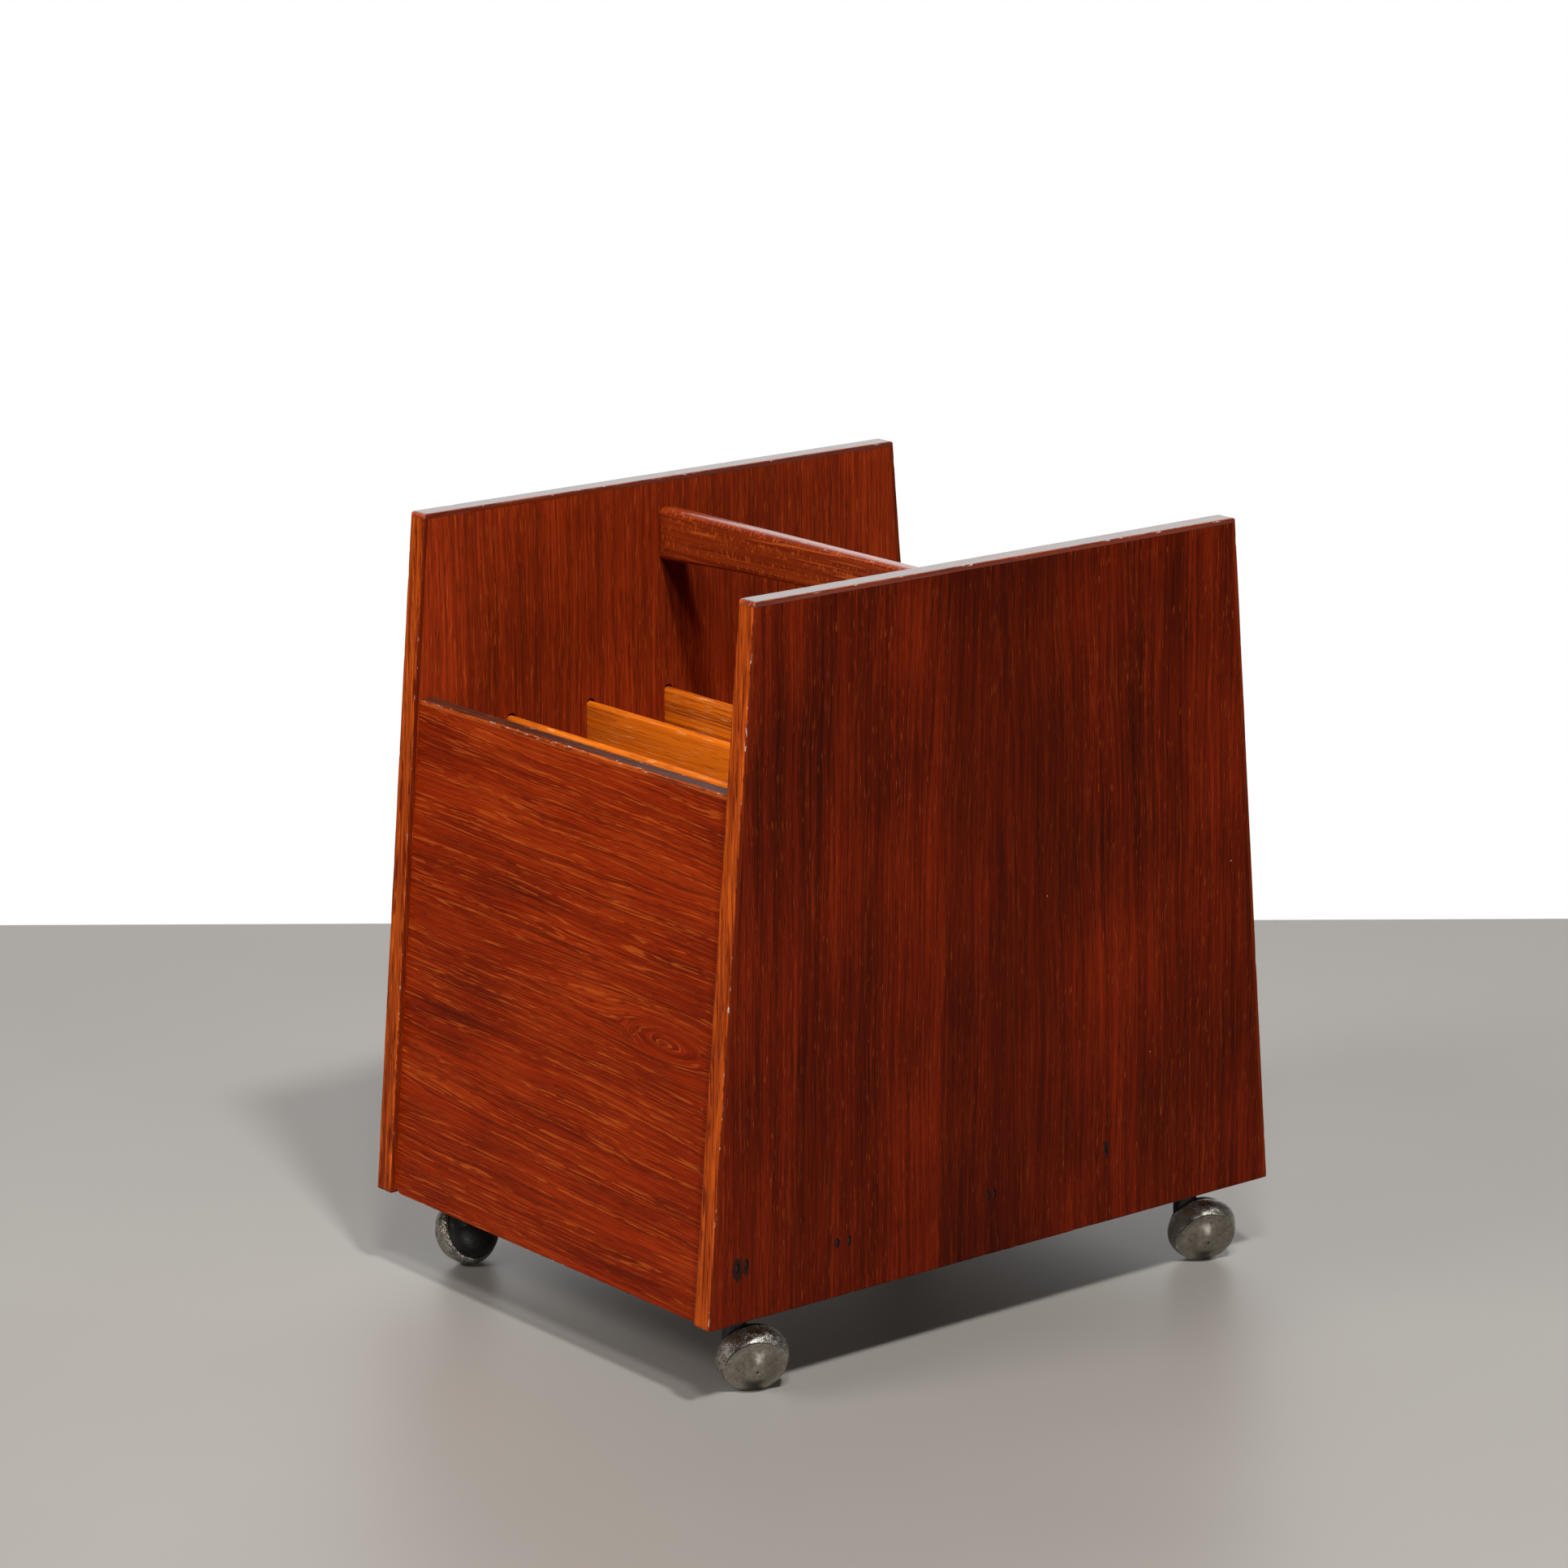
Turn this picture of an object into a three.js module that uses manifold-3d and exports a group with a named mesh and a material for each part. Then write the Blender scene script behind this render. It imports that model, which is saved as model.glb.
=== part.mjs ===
// A magazine rack on ball casters: two leaning-edged side panels, a front and a back panel, five dividers,
// a carrying handle between the sides, a bottom board on two battens, and four hooded swivel casters.
// Millimetres, +Z up, +X towards the right side panel, -Y towards the front, z = 0 on the floor.
import * as THREE from "three";
import { mergeVertices } from "three/addons/utils/BufferGeometryUtils.js";
import Module from "manifold-3d";

const wasm = await Module();
wasm.setup();

// ---- driving dimensions ----
const rideHeight = 52; // floor to the bottom edge of the panels
const outerWidth = 331.3;
const sideThickness = 14;
const sideHeight = 420;
const sideDepthTop = 364.8;
const sideDepthBottom = 438.3;
const sideCorner = 2; // radius of the side panels' corners
const sideEase = 1.2; // easing of their long edges
const lipping = 3; // solid edging round the veneered panels
const fitGap = 0.3; // gap between pieces that touch

const frontSetback = 3.7; // front and back panels behind the side panels' edges
const frontThickness = 11;
const frontHeight = 307;
const frontEase = 1;
const tongueDepth = 5;
const tongueThickness = 5;

const dividerCount = 5;
const dividerPitch = 60.5;
const dividerThickness = 6;
const dividerTop = 286.5;
const dividerRound = 2.6;
const grooveDepth = 4;
const grooveWidth = dividerThickness + 2 * fitGap;
const grooveTop = 288.3;

const bottomLow = 28; // underside of the bottom board, above the panels' bottom edge
const bottomThickness = 18;
const battenLow = 7;
const battenDepth = 54;

const handleLow = 367; // ends of the handle's underside, above the panels' bottom edge
const handleTop = 401.5;
const handleArch = 6; // rise of the underside at the middle
const handleThickness = 13.4;
const handleRound = 4.2;

const dowelRadius = 4;
const dowelInPanel = 9;
const dowelInHandle = 16;
const dowelHeights = [376, 391];

const nailHalfWidth = 1.1; // oval nails, long way up the grain
const nailHalfHeight = 3;
const nailLength = 38;
const nailSink = 0.5;
// where each nail is driven through a side panel: [y, height above the panels' bottom edge]
const rightNails = [[-197.5, 34], [-191, 35], [-124, 33], [-115, 32.5], [-8.8, 37], [-4, 37], [84.6, 43]];
const leftNails = [[-194, 36], [-118, 36], [-6, 37], [118, 36]];

const stemX = 136.4;
const stemY = 177.2;
const wheelTilt = THREE.MathUtils.degToRad(23);
const wheelReach = 12; // dome rim's centre from the swivel axis, along the wheel's axle
const wheelTrail = 9.7; // and across it
const domeRadius = 18.3;
const treadRadius = 21.7;
const treadWidth = 13;
const crownRadius = 20.5; // the tread's middle, which rolls on the floor
const crownAt = 4.2; // behind the dome's rim
const domeHeight = 5.8;
const domeWall = 0.9;
const hoodRadius = 19.2;
const hoodHeight = 11;
const neckRadius = 7.2;
const neckTop = rideHeight + battenLow - 1.8;
const stemRadius = 4;
const axleRadius = 2.5;
const socketRadius = 5.4;
const flangeRadius = 9;

// heading of each caster's dome, in degrees from +X, and the hand that its trail is on
const casters = {
  front_right: { x: stemX, y: -stemY, heading: -25, hand: 1 },
  back_right: { x: stemX, y: stemY, heading: -23, hand: 1 },
  front_left: { x: -stemX, y: -stemY, heading: 188, hand: -1 },
  back_left: { x: -stemX, y: stemY, heading: 197, hand: -1 },
};

const wheelSides = 24;
const hoodSides = 20;
const pinSides = 14;

// ---- sizes worked out from them ----
const innerX = outerWidth / 2 - sideThickness; // inner face of a side panel
const lean = (sideDepthBottom - sideDepthTop) / 2 / sideHeight; // how far an edge leans in per unit of height
const crownHeight = crownRadius * Math.cos(wheelTilt) - crownAt * Math.sin(wheelTilt);
const bottomTop = bottomLow + bottomThickness;
const boardWidth = 2 * (innerX - fitGap);
const battenTop = bottomLow - fitGap;
const stemLow = rideHeight - 7;
const stemHigh = rideHeight + battenLow + 19;
const axleInner = -treadWidth - 7; // blind end of the axle in the hood
const axleOuter = -1.2; // its end behind the dome

// ---- materials ----
function wood(colour, roughness) {
  return new THREE.MeshStandardMaterial({ color: colour, roughness, metalness: 0 });
}
const sideVeneer = wood(0x6a260e, 0.38);
const frontVeneer = wood(0x93300c, 0.38);
const edgeTeak = wood(0xa44214, 0.4);
const handleTeak = wood(0x8a3212, 0.35);
const dividerWood = wood(0xc06414, 0.5);
const plainWood = wood(0xb08858, 0.8);
const dowelWood = wood(0xc8a878, 0.8);
const nailIron = new THREE.MeshStandardMaterial({ color: 0x1c1512, roughness: 0.7, metalness: 0.6 });
const pittedChrome = new THREE.MeshStandardMaterial({ color: 0x9a948c, roughness: 0.3, metalness: 1 });
const dullSteel = new THREE.MeshStandardMaterial({ color: 0x7d766c, roughness: 0.42, metalness: 1 });
const hoodBlack = new THREE.MeshStandardMaterial({ color: 0x141312, roughness: 0.45, metalness: 0.1 });
const plainSteel = new THREE.MeshStandardMaterial({ color: 0xa09c96, roughness: 0.35, metalness: 1 });

// ---- outlines ----
// A closed outline through the corners, each rounded by a curve that starts and ends `round` from it.
function outline(corners, round = 0) {
  const shape = new THREE.Shape();
  corners.forEach(([x, y, own = round], i) => {
    const corner = new THREE.Vector2(x, y);
    const before = new THREE.Vector2(...corners.at(i - 1).slice(0, 2));
    const after = new THREE.Vector2(...corners[(i + 1) % corners.length].slice(0, 2));
    const enter = corner.clone().add(before.sub(corner).setLength(own));
    const leave = corner.clone().add(after.sub(corner).setLength(own));
    if (i === 0) shape.moveTo(enter.x, enter.y);
    else shape.lineTo(enter.x, enter.y);
    if (own > 0) shape.quadraticCurveTo(x, y, leave.x, leave.y);
  });
  shape.closePath();
  return shape;
}

function rectangle(y0, z0, y1, z1, round = 0) {
  return outline([[y0, z0], [y1, z0], [y1, z1], [y0, z1]], round);
}

// ---- solids ----
// The geometry with shared vertices merged and no collapsed triangles, which a boolean needs.
function weld(geometry) {
  const loose = geometry.index ? geometry.toNonIndexed() : geometry;
  const bare = new THREE.BufferGeometry();
  bare.setAttribute("position", loose.getAttribute("position"));
  const merged = mergeVertices(bare, 1e-4);
  const index = merged.index.array;
  const kept = [];
  for (let i = 0; i < index.length; i += 3) {
    const [a, b, c] = index.slice(i, i + 3);
    if (a !== b && b !== c && c !== a) kept.push(a, b, c);
  }
  merged.setIndex(kept);
  return merged;
}

function solid(geometry) {
  const merged = weld(geometry);
  const vertProperties = new Float32Array(merged.attributes.position.array);
  const triVerts = new Uint32Array(merged.index.array);
  return new wasm.Manifold(new wasm.Mesh({ numProp: 3, vertProperties, triVerts }));
}

function geometryOf(manifold) {
  const mesh = manifold.getMesh();
  const geometry = new THREE.BufferGeometry();
  geometry.setAttribute("position", new THREE.BufferAttribute(mesh.vertProperties, 3));
  geometry.setIndex(new THREE.BufferAttribute(mesh.triVerts, 1));
  return geometry;
}

function flatShaded(geometry) {
  const flat = geometry.index ? geometry.toNonIndexed() : geometry;
  flat.computeVertexNormals();
  return flat;
}

// Extrudes an outline drawn in (y, z) along X, centred on x, with its long edges eased.
function board(shape, x, thickness, ease = 0, curveSegments = 4) {
  const options = { depth: thickness - 2 * ease, bevelEnabled: ease > 0, curveSegments };
  Object.assign(options, { bevelThickness: ease, bevelSize: ease, bevelOffset: -ease, bevelSegments: 2 });
  const geometry = new THREE.ExtrudeGeometry(shape, options);
  const turn = new THREE.Matrix4().makeBasis(
    new THREE.Vector3(0, 1, 0),
    new THREE.Vector3(0, 0, 1),
    new THREE.Vector3(1, 0, 0),
  );
  geometry.translate(0, 0, ease - thickness / 2);
  geometry.applyMatrix4(turn);
  geometry.translate(x, 0, 0);
  return geometry;
}

// A round rod along X from x0 to x1.
function rodX(radius, x0, x1, y, z) {
  const rod = new THREE.CylinderGeometry(radius, radius, Math.abs(x1 - x0), pinSides);
  rod.rotateZ(Math.PI / 2);
  rod.translate((x0 + x1) / 2, y, z);
  return rod;
}

// The solid of revolution of [radius, height] points about Z.
function turned(points, sides) {
  const lathe = new THREE.LatheGeometry(points.map(([r, h]) => new THREE.Vector2(r, h)), sides);
  lathe.rotateX(Math.PI / 2);
  return weld(lathe);
}

function closed(points) {
  return [...points, points[0]];
}

const rack = new THREE.Group();
const body = new THREE.Group(); // the wooden body, with z = 0 at the panels' bottom edge
body.position.z = rideHeight;
rack.add(body);

function place(parent, name, geometry, material) {
  const mesh = new THREE.Mesh(flatShaded(geometry), material);
  mesh.name = name;
  parent.add(mesh);
}

// ---- side panels ----
const frontEdge = (z) => -sideDepthBottom / 2 + lean * z;

// The outline between two lines that lean with the front edge and their mirror images.
function leaning(inset, low, high, round = 0) {
  const atLow = frontEdge(low) + inset;
  const atHigh = frontEdge(high) + inset;
  return outline([[atLow, low], [-atLow, low], [-atHigh, high], [atHigh, high]], round);
}

// A strip that leans with the front edge, from inset0 to inset1 behind it; back = 1 mirrors it.
function strip(inset0, inset1, low, high, back = -1) {
  const corners = [
    [frontEdge(low) + inset0, low],
    [frontEdge(low) + inset1, low],
    [frontEdge(high) + inset1, high],
    [frontEdge(high) + inset0, high],
  ];
  const turnedRound = corners.map(([y, z]) => [-y, z]).reverse();
  return outline(back > 0 ? turnedRound : corners);
}

function grooveOutline(y) {
  const half = grooveWidth / 2;
  const shape = new THREE.Shape();
  shape.moveTo(y - half, bottomTop);
  shape.lineTo(y + half, bottomTop);
  shape.lineTo(y + half, grooveTop - half);
  shape.absarc(y, grooveTop - half, half, 0, Math.PI, false);
  shape.closePath();
  return shape;
}

function dividerY(i) {
  return (i - (dividerCount - 1) / 2) * dividerPitch;
}

// The oval section of a nail, or of the hole that holds it, in (y, z).
function oval(y, z, extra = 0) {
  const shape = new THREE.Shape();
  shape.absellipse(y, z, nailHalfWidth + extra, nailHalfHeight + extra, 0, 2 * Math.PI, false, 0);
  return shape;
}

function cutAll(block, tools) {
  return tools.reduce((left, tool) => left.subtract(solid(tool)), block);
}

// side is 1 for the right panel and -1 for the left one.
function sidePanel(side, name, nails) {
  const x = side * (innerX + sideThickness / 2);
  const wide = sideThickness * 3;
  const far = 20;
  const core = solid(board(leaning(0, 0, sideHeight, sideCorner), x, sideThickness, sideEase));
  const seam = sideHeight - lipping;
  const cuts = [];
  for (let i = 0; i < dividerCount; i++) {
    cuts.push(board(grooveOutline(dividerY(i)), side * innerX, 2 * grooveDepth, 0, 6));
  }
  for (const back of [-1, 1]) {
    const near = frontSetback + (frontThickness - tongueThickness) / 2;
    const slot = strip(near - fitGap, near + tongueThickness + fitGap, -far, frontHeight - lipping - 6, back);
    cuts.push(board(slot, side * innerX, 2 * tongueDepth));
  }
  for (const z of dowelHeights) {
    cuts.push(rodX(dowelRadius + fitGap, side * (innerX - 1), side * (innerX + dowelInPanel + fitGap), 0, z));
  }
  for (const [y, z] of nails) cuts.push(board(oval(y, z, fitGap), x, wide, 0, 3));
  const inner = solid(board(leaning(lipping + fitGap / 2, -far, seam - fitGap / 2), x, wide));
  place(body, name, geometryOf(cutAll(core.intersect(inner), cuts)), sideVeneer);
  for (const [back, word] of [[-1, "front"], [1, "back"]]) {
    const region = solid(board(strip(-far, lipping - fitGap / 2, -far, seam - fitGap / 2, back), x, wide));
    place(body, `${name}_${word}_lipping`, geometryOf(core.intersect(region)), edgeTeak);
  }
  const capRegion = rectangle(-sideDepthTop, seam + fitGap / 2, sideDepthTop, sideHeight + far);
  const cap = solid(board(capRegion, x, wide));
  place(body, `${name}_top_lipping`, geometryOf(core.intersect(cap)), edgeTeak);
}

sidePanel(1, "right_side_panel", rightNails);
sidePanel(-1, "left_side_panel", leftNails);

// ---- front and back panels, with a tongue at each end and a lipping along the top ----
function endPanel(back, name) {
  const near = frontSetback;
  const far = frontSetback + frontThickness;
  const topBoard = frontHeight - lipping;
  const tongueNear = near + (frontThickness - tongueThickness) / 2;
  const tongue = strip(tongueNear, tongueNear + tongueThickness, 0.5, topBoard - 8, back);
  const reach = 2 * (innerX + tongueDepth - 2 * fitGap);
  const slab = solid(board(strip(near, far, 0.5, topBoard - fitGap / 2, back), 0, boardWidth));
  place(body, name, geometryOf(slab.add(solid(board(tongue, 0, reach)))), frontVeneer);
  const low = topBoard + fitGap / 2;
  const edge = [
    [frontEdge(low) + near, low, 0],
    [frontEdge(low) + far, low, 0],
    [frontEdge(frontHeight) + far, frontHeight, frontEase],
    [frontEdge(frontHeight) + near, frontHeight, frontEase],
  ];
  const mirrored = edge.map(([y, z, r]) => [-y, z, r]).reverse();
  place(body, `${name}_top_lipping`, board(outline(back > 0 ? mirrored : edge), 0, boardWidth), edgeTeak);
}

endPanel(-1, "front_panel");
endPanel(1, "back_panel");

// ---- bottom board and the battens that hold the casters ----
const panelBackFace = frontSetback + frontThickness + fitGap;
const bottomBlank = solid(board(leaning(panelBackFace, bottomLow, bottomTop - fitGap), 0, boardWidth));
const nailHoles = [];
for (const [side, nails] of [[1, rightNails], [-1, leftNails]]) {
  const x = side * (outerWidth / 2 - nailSink - nailLength / 2 - fitGap);
  for (const [y, z] of nails) nailHoles.push(board(oval(y, z, fitGap), x, nailLength + 2 * fitGap, 0, 3));
}
place(body, "bottom_board", geometryOf(cutAll(bottomBlank, nailHoles)), plainWood);

function batten(back, name) {
  const section = strip(panelBackFace, panelBackFace + battenDepth, battenLow, battenTop, back);
  const blank = solid(board(section, 0, boardWidth));
  const holes = [-1, 1].map((side) => {
    const hole = new THREE.CylinderGeometry(socketRadius + fitGap, socketRadius + fitGap, 60, pinSides);
    hole.rotateX(Math.PI / 2);
    hole.translate(side * stemX, back * stemY, 0);
    return hole;
  });
  place(body, name, geometryOf(cutAll(blank, holes)), plainWood);
}

batten(-1, "front_caster_batten");
batten(1, "back_caster_batten");

// ---- dividers ----
for (let i = 0; i < dividerCount; i++) {
  const y = dividerY(i);
  const half = dividerThickness / 2;
  const low = bottomTop;
  const section = [
    [y - half, low, 0],
    [y + half, low, 0],
    [y + half, dividerTop, dividerRound],
    [y - half, dividerTop, dividerRound],
  ];
  const length = 2 * (innerX + grooveDepth - fitGap);
  place(body, `divider_${i + 1}`, board(outline(section), 0, length), dividerWood);
}

// ---- carrying handle and its dowels ----
function handleBlank() {
  const half = innerX + 10;
  const shape = new THREE.Shape();
  shape.moveTo(-half, handleLow);
  shape.quadraticCurveTo(0, handleLow + 2 * handleArch, half, handleLow);
  shape.lineTo(half, handleTop);
  shape.lineTo(-half, handleTop);
  shape.closePath();
  const options = { depth: handleThickness - 2 * handleRound, bevelEnabled: true, curveSegments: 10 };
  Object.assign(options, { bevelThickness: handleRound, bevelSize: handleRound });
  Object.assign(options, { bevelOffset: -handleRound, bevelSegments: 3 });
  const bar = new THREE.ExtrudeGeometry(shape, options);
  bar.translate(0, 0, handleRound - handleThickness / 2);
  bar.rotateX(Math.PI / 2);
  return bar;
}

const handleEnds = new THREE.BoxGeometry(boardWidth, 100, 100).translate(0, 0, handleTop - 20);
const dowelHoles = [];
for (const side of [-1, 1]) {
  for (const [i, z] of dowelHeights.entries()) {
    const inPanel = side * (innerX + dowelInPanel);
    const inHandle = side * (innerX - dowelInHandle);
    const mouth = side * (innerX + 1);
    dowelHoles.push(rodX(dowelRadius + fitGap, inHandle - side * fitGap, mouth, 0, z));
    const word = side > 0 ? "right" : "left";
    place(body, `handle_dowel_${word}_${i + 1}`, rodX(dowelRadius, inHandle, inPanel, 0, z), dowelWood);
  }
}
const handleBar = cutAll(solid(handleBlank()).intersect(solid(handleEnds)), dowelHoles);
place(body, "handle", geometryOf(handleBar), handleTeak);

// ---- nails ----
for (const [side, word, nails] of [[1, "right", rightNails], [-1, "left", leftNails]]) {
  const x = side * (outerWidth / 2 - nailSink - nailLength / 2);
  nails.forEach(([y, z], i) => {
    place(body, `${word}_nail_${i + 1}`, board(oval(y, z), x, nailLength, 0, 3), nailIron);
  });
}

// ---- casters ----
// The wheel's own frame: Z along the axle towards the dome, the rim's centre at the origin.
function wheelFrame(hand) {
  const cos = Math.cos(wheelTilt);
  const sin = Math.sin(wheelTilt);
  const axle = new THREE.Vector3(cos, 0, -sin);
  const down = new THREE.Vector3(-sin, 0, -cos);
  const across = new THREE.Vector3().crossVectors(axle, down);
  const frame = new THREE.Matrix4().makeBasis(down, across, axle);
  return frame.setPosition(wheelReach, hand * wheelTrail, crownHeight);
}

function wheelGeometry() {
  const bore = axleRadius + fitGap;
  const back = -treadWidth;
  return turned(closed([
    [bore, back + 0.5],
    [6.5, back + 0.5],
    [6.5, -8.8],
    [17.4, -8.8],
    [17.8, back],
    [treadRadius - 1.6, back],
    [treadRadius - 0.3, -10.8],
    [treadRadius, -8],
    [crownRadius, -crownAt],
    [domeRadius + 0.3, 0],
    [16.6, 0],
    [16.6, -4.6],
    [5.5, -4.6],
    [5.5, -2.6],
    [bore, -2.6],
  ]), wheelSides);
}

function domeGeometry() {
  const low = fitGap;
  const rings = 4;
  const outer = [];
  const inner = [];
  for (let i = 0; i <= rings; i++) {
    const t = i / rings;
    const height = 1 - t * t;
    outer.push([t * domeRadius, low + 0.6 + (domeHeight - 0.6 - low) * height]);
    inner.push([t * (domeRadius - domeWall), low + (domeHeight - domeWall - low) * height]);
  }
  return turned([...inner, ...outer.reverse()], wheelSides);
}

function hoodGeometry(frame, hand) {
  const base = -treadWidth - fitGap;
  const rings = 4;
  const shell = [];
  for (let i = 0; i <= rings; i++) {
    const t = (i / rings) * (Math.PI / 2);
    shell.push([hoodRadius * Math.sin(t), base - hoodHeight * Math.cos(t)]);
  }
  shell.push([0, base]);
  const cup = turned(shell, hoodSides).applyMatrix4(frame);
  const neckLow = crownHeight;
  const neck = new THREE.CylinderGeometry(neckRadius, neckRadius, neckTop - neckLow, hoodSides);
  neck.rotateX(Math.PI / 2).translate(0, 0, (neckTop + neckLow) / 2);
  const clear = turned([[0, base], [treadRadius + 0.4, base], [treadRadius + 0.4, 9], [0, 9]], wheelSides);
  const stemHole = new THREE.CylinderGeometry(stemRadius + fitGap, stemRadius + fitGap, 40, pinSides);
  stemHole.rotateX(Math.PI / 2).translate(0, 0, stemLow - fitGap + 20);
  const axleHole = turned([[0, axleInner - fitGap], [axleRadius + fitGap, axleInner - fitGap],
    [axleRadius + fitGap, 9], [0, 9]], pinSides);
  const joined = solid(cup).add(solid(neck));
  return geometryOf(cutAll(joined, [clear.applyMatrix4(frame), stemHole, axleHole.applyMatrix4(frame)]));
}

function stemGeometry() {
  const groove = stemHigh - 4.5;
  return turned([
    [0, stemLow],
    [stemRadius, stemLow],
    [stemRadius, groove - 1.5],
    [stemRadius - 0.9, groove],
    [stemRadius, groove + 1.5],
    [stemRadius, stemHigh - 1.2],
    [stemRadius - 1.2, stemHigh],
    [0, stemHigh],
  ], pinSides);
}

function socketGeometry() {
  const bore = stemRadius + fitGap;
  const low = neckTop + fitGap;
  const flangeTop = rideHeight + battenLow - fitGap;
  const high = rideHeight + battenTop - 1;
  return turned(closed([
    [bore, low],
    [flangeRadius - 0.4, low],
    [flangeRadius, flangeTop],
    [socketRadius, flangeTop],
    [socketRadius, high],
    [bore, high],
  ]), pinSides);
}

function axleGeometry() {
  return turned([
    [0, axleInner],
    [axleRadius, axleInner],
    [axleRadius, axleOuter - 0.5],
    [axleRadius - 0.5, axleOuter],
    [0, axleOuter],
  ], pinSides);
}

for (const [name, { x, y, heading, hand }] of Object.entries(casters)) {
  const caster = new THREE.Group();
  caster.position.set(x, y, 0);
  caster.rotation.z = THREE.MathUtils.degToRad(heading);
  rack.add(caster);
  const frame = wheelFrame(hand);
  const wheel = new THREE.Group();
  wheel.setRotationFromMatrix(frame);
  wheel.position.setFromMatrixPosition(frame);
  caster.add(wheel);
  place(caster, `${name}_caster_socket`, socketGeometry(), plainSteel);
  place(caster, `${name}_caster_stem`, stemGeometry(), plainSteel);
  place(caster, `${name}_caster_hood`, hoodGeometry(frame, hand), hoodBlack);
  place(wheel, `${name}_axle`, axleGeometry(), plainSteel);
  place(wheel, `${name}_wheel`, wheelGeometry(), pittedChrome);
  place(wheel, `${name}_wheel_dome`, domeGeometry(), dullSteel);
}

export default rack;
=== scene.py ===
"""Builds a wooden magazine rack on ball casters, its stage and its lights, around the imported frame."""

import math

import bmesh
import bpy
from mathutils import Matrix, Vector, noise


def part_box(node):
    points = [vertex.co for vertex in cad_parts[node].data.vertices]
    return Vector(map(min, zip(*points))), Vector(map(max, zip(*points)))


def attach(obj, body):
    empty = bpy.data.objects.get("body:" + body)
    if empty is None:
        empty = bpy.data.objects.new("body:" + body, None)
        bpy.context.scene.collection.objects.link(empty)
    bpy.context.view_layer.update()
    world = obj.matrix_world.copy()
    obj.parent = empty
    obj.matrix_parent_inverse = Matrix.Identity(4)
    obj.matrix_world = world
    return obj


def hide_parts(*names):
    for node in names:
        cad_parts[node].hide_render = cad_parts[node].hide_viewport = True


bl_info = {
    "name": "Magazine Rack on Casters",
    "version": (1, 0, 0),
    "blender": (4, 5, 0),
    "location": "View3D > Sidebar > Rack",
    "description": "Builds a veneered magazine rack with a carrying handle and four hooded casters",
    "category": "Add Mesh",
}

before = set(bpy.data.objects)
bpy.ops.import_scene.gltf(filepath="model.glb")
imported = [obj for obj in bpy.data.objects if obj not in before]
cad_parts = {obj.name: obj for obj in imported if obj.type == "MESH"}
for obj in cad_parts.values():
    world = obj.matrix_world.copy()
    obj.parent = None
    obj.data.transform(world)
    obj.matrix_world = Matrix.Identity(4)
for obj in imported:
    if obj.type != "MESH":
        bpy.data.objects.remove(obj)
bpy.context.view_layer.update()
MM = 0.001
SIDES = ("right", "left")
ENDS = ((-1, "front"), (1, "back"))
DIVIDERS = 5

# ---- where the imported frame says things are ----
PANEL_LOW, PANEL_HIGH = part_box("right_side_panel")
LIPPING_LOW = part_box("right_side_panel_front_lipping")[0]
CAP_LOW, CAP_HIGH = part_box("right_side_panel_top_lipping")
INNER_X = PANEL_LOW.x
OUTER_X = PANEL_HIGH.x
SIDE_LOW = LIPPING_LOW.z
SIDE_HIGH = CAP_HIGH.z
FRONT_PANEL_LOW, FRONT_PANEL_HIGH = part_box("front_panel")
FRONT_CAP_LOW, FRONT_CAP_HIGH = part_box("front_panel_top_lipping")
HANDLE_LOW, HANDLE_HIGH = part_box("handle")
DIVIDER_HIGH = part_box("divider_3")[1]


def tone(code):
    """A display colour such as 7A2E0E, as the linear colour that shaders take."""
    parts = [int(code[i : i + 2], 16) / 255 for i in (0, 2, 4)]
    return tuple(p / 12.92 if p <= 0.04045 else ((p + 0.055) / 1.055) ** 2.4 for p in parts)


def colour_property(name, code, description):
    return bpy.props.FloatVectorProperty(
        name=name, description=description, subtype="COLOR", size=3, min=0, max=1, default=tone(code)
    )


def length_property(name, millimetres, description):
    return bpy.props.FloatProperty(
        name=name, description=description, subtype="DISTANCE", unit="LENGTH", default=millimetres * MM
    )


class RackSizes(bpy.types.PropertyGroup):
    arris: length_property("Arris", 1.2, "Rounding of the side panels' long edges")
    corner: length_property("Corner", 2.2, "Rounding of the side panels' corners seen from the side")
    worn: length_property("Wear", 0.9, "How far knocks take an arris back")
    lipping: length_property("Lipping", 3, "Thickness of the solid edging")
    seam: length_property("Seam", 0.1, "Open joint between a veneer and its edging")
    setback: length_property("Setback", 3.7, "Front panel behind the side panels' edges")
    end_thickness: length_property("End panel", 11, "Thickness of the front and back panels")
    tongue: length_property("Tongue", 5, "Thickness of the tongues at the ends of the front and back panels")
    tongue_depth: length_property("Tongue depth", 5, "Depth of the grooves that take them")
    groove: length_property("Groove", 6.6, "Width of the dividers' grooves")
    groove_depth: length_property("Groove depth", 4, "Depth of the dividers' grooves")
    divider_round: length_property("Divider edge", 2.9, "Rounding along a divider's top")
    handle_round: length_property("Handle edge", 4.6, "Rounding along the handle")
    handle_arch: length_property("Handle arch", 6, "Rise of the handle's underside at the middle")
    nail_width: length_property("Nail width", 2.2, "Short way across an oval nail's head")
    nail_height: length_property("Nail height", 6, "Long way across an oval nail's head")
    tread: length_property("Tread", 21.7, "Largest radius of a caster wheel")
    dome: length_property("Dome", 18.3, "Radius of the dome on a caster wheel")
    dome_height: length_property("Dome height", 5.8, "How far the dome stands out of its rim")
    wheel_tilt: bpy.props.FloatProperty(
        name="Wheel tilt",
        description="Tilt of a wheel's axle from level",
        subtype="ANGLE",
        unit="ROTATION",
        default=math.radians(23),
    )


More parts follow.
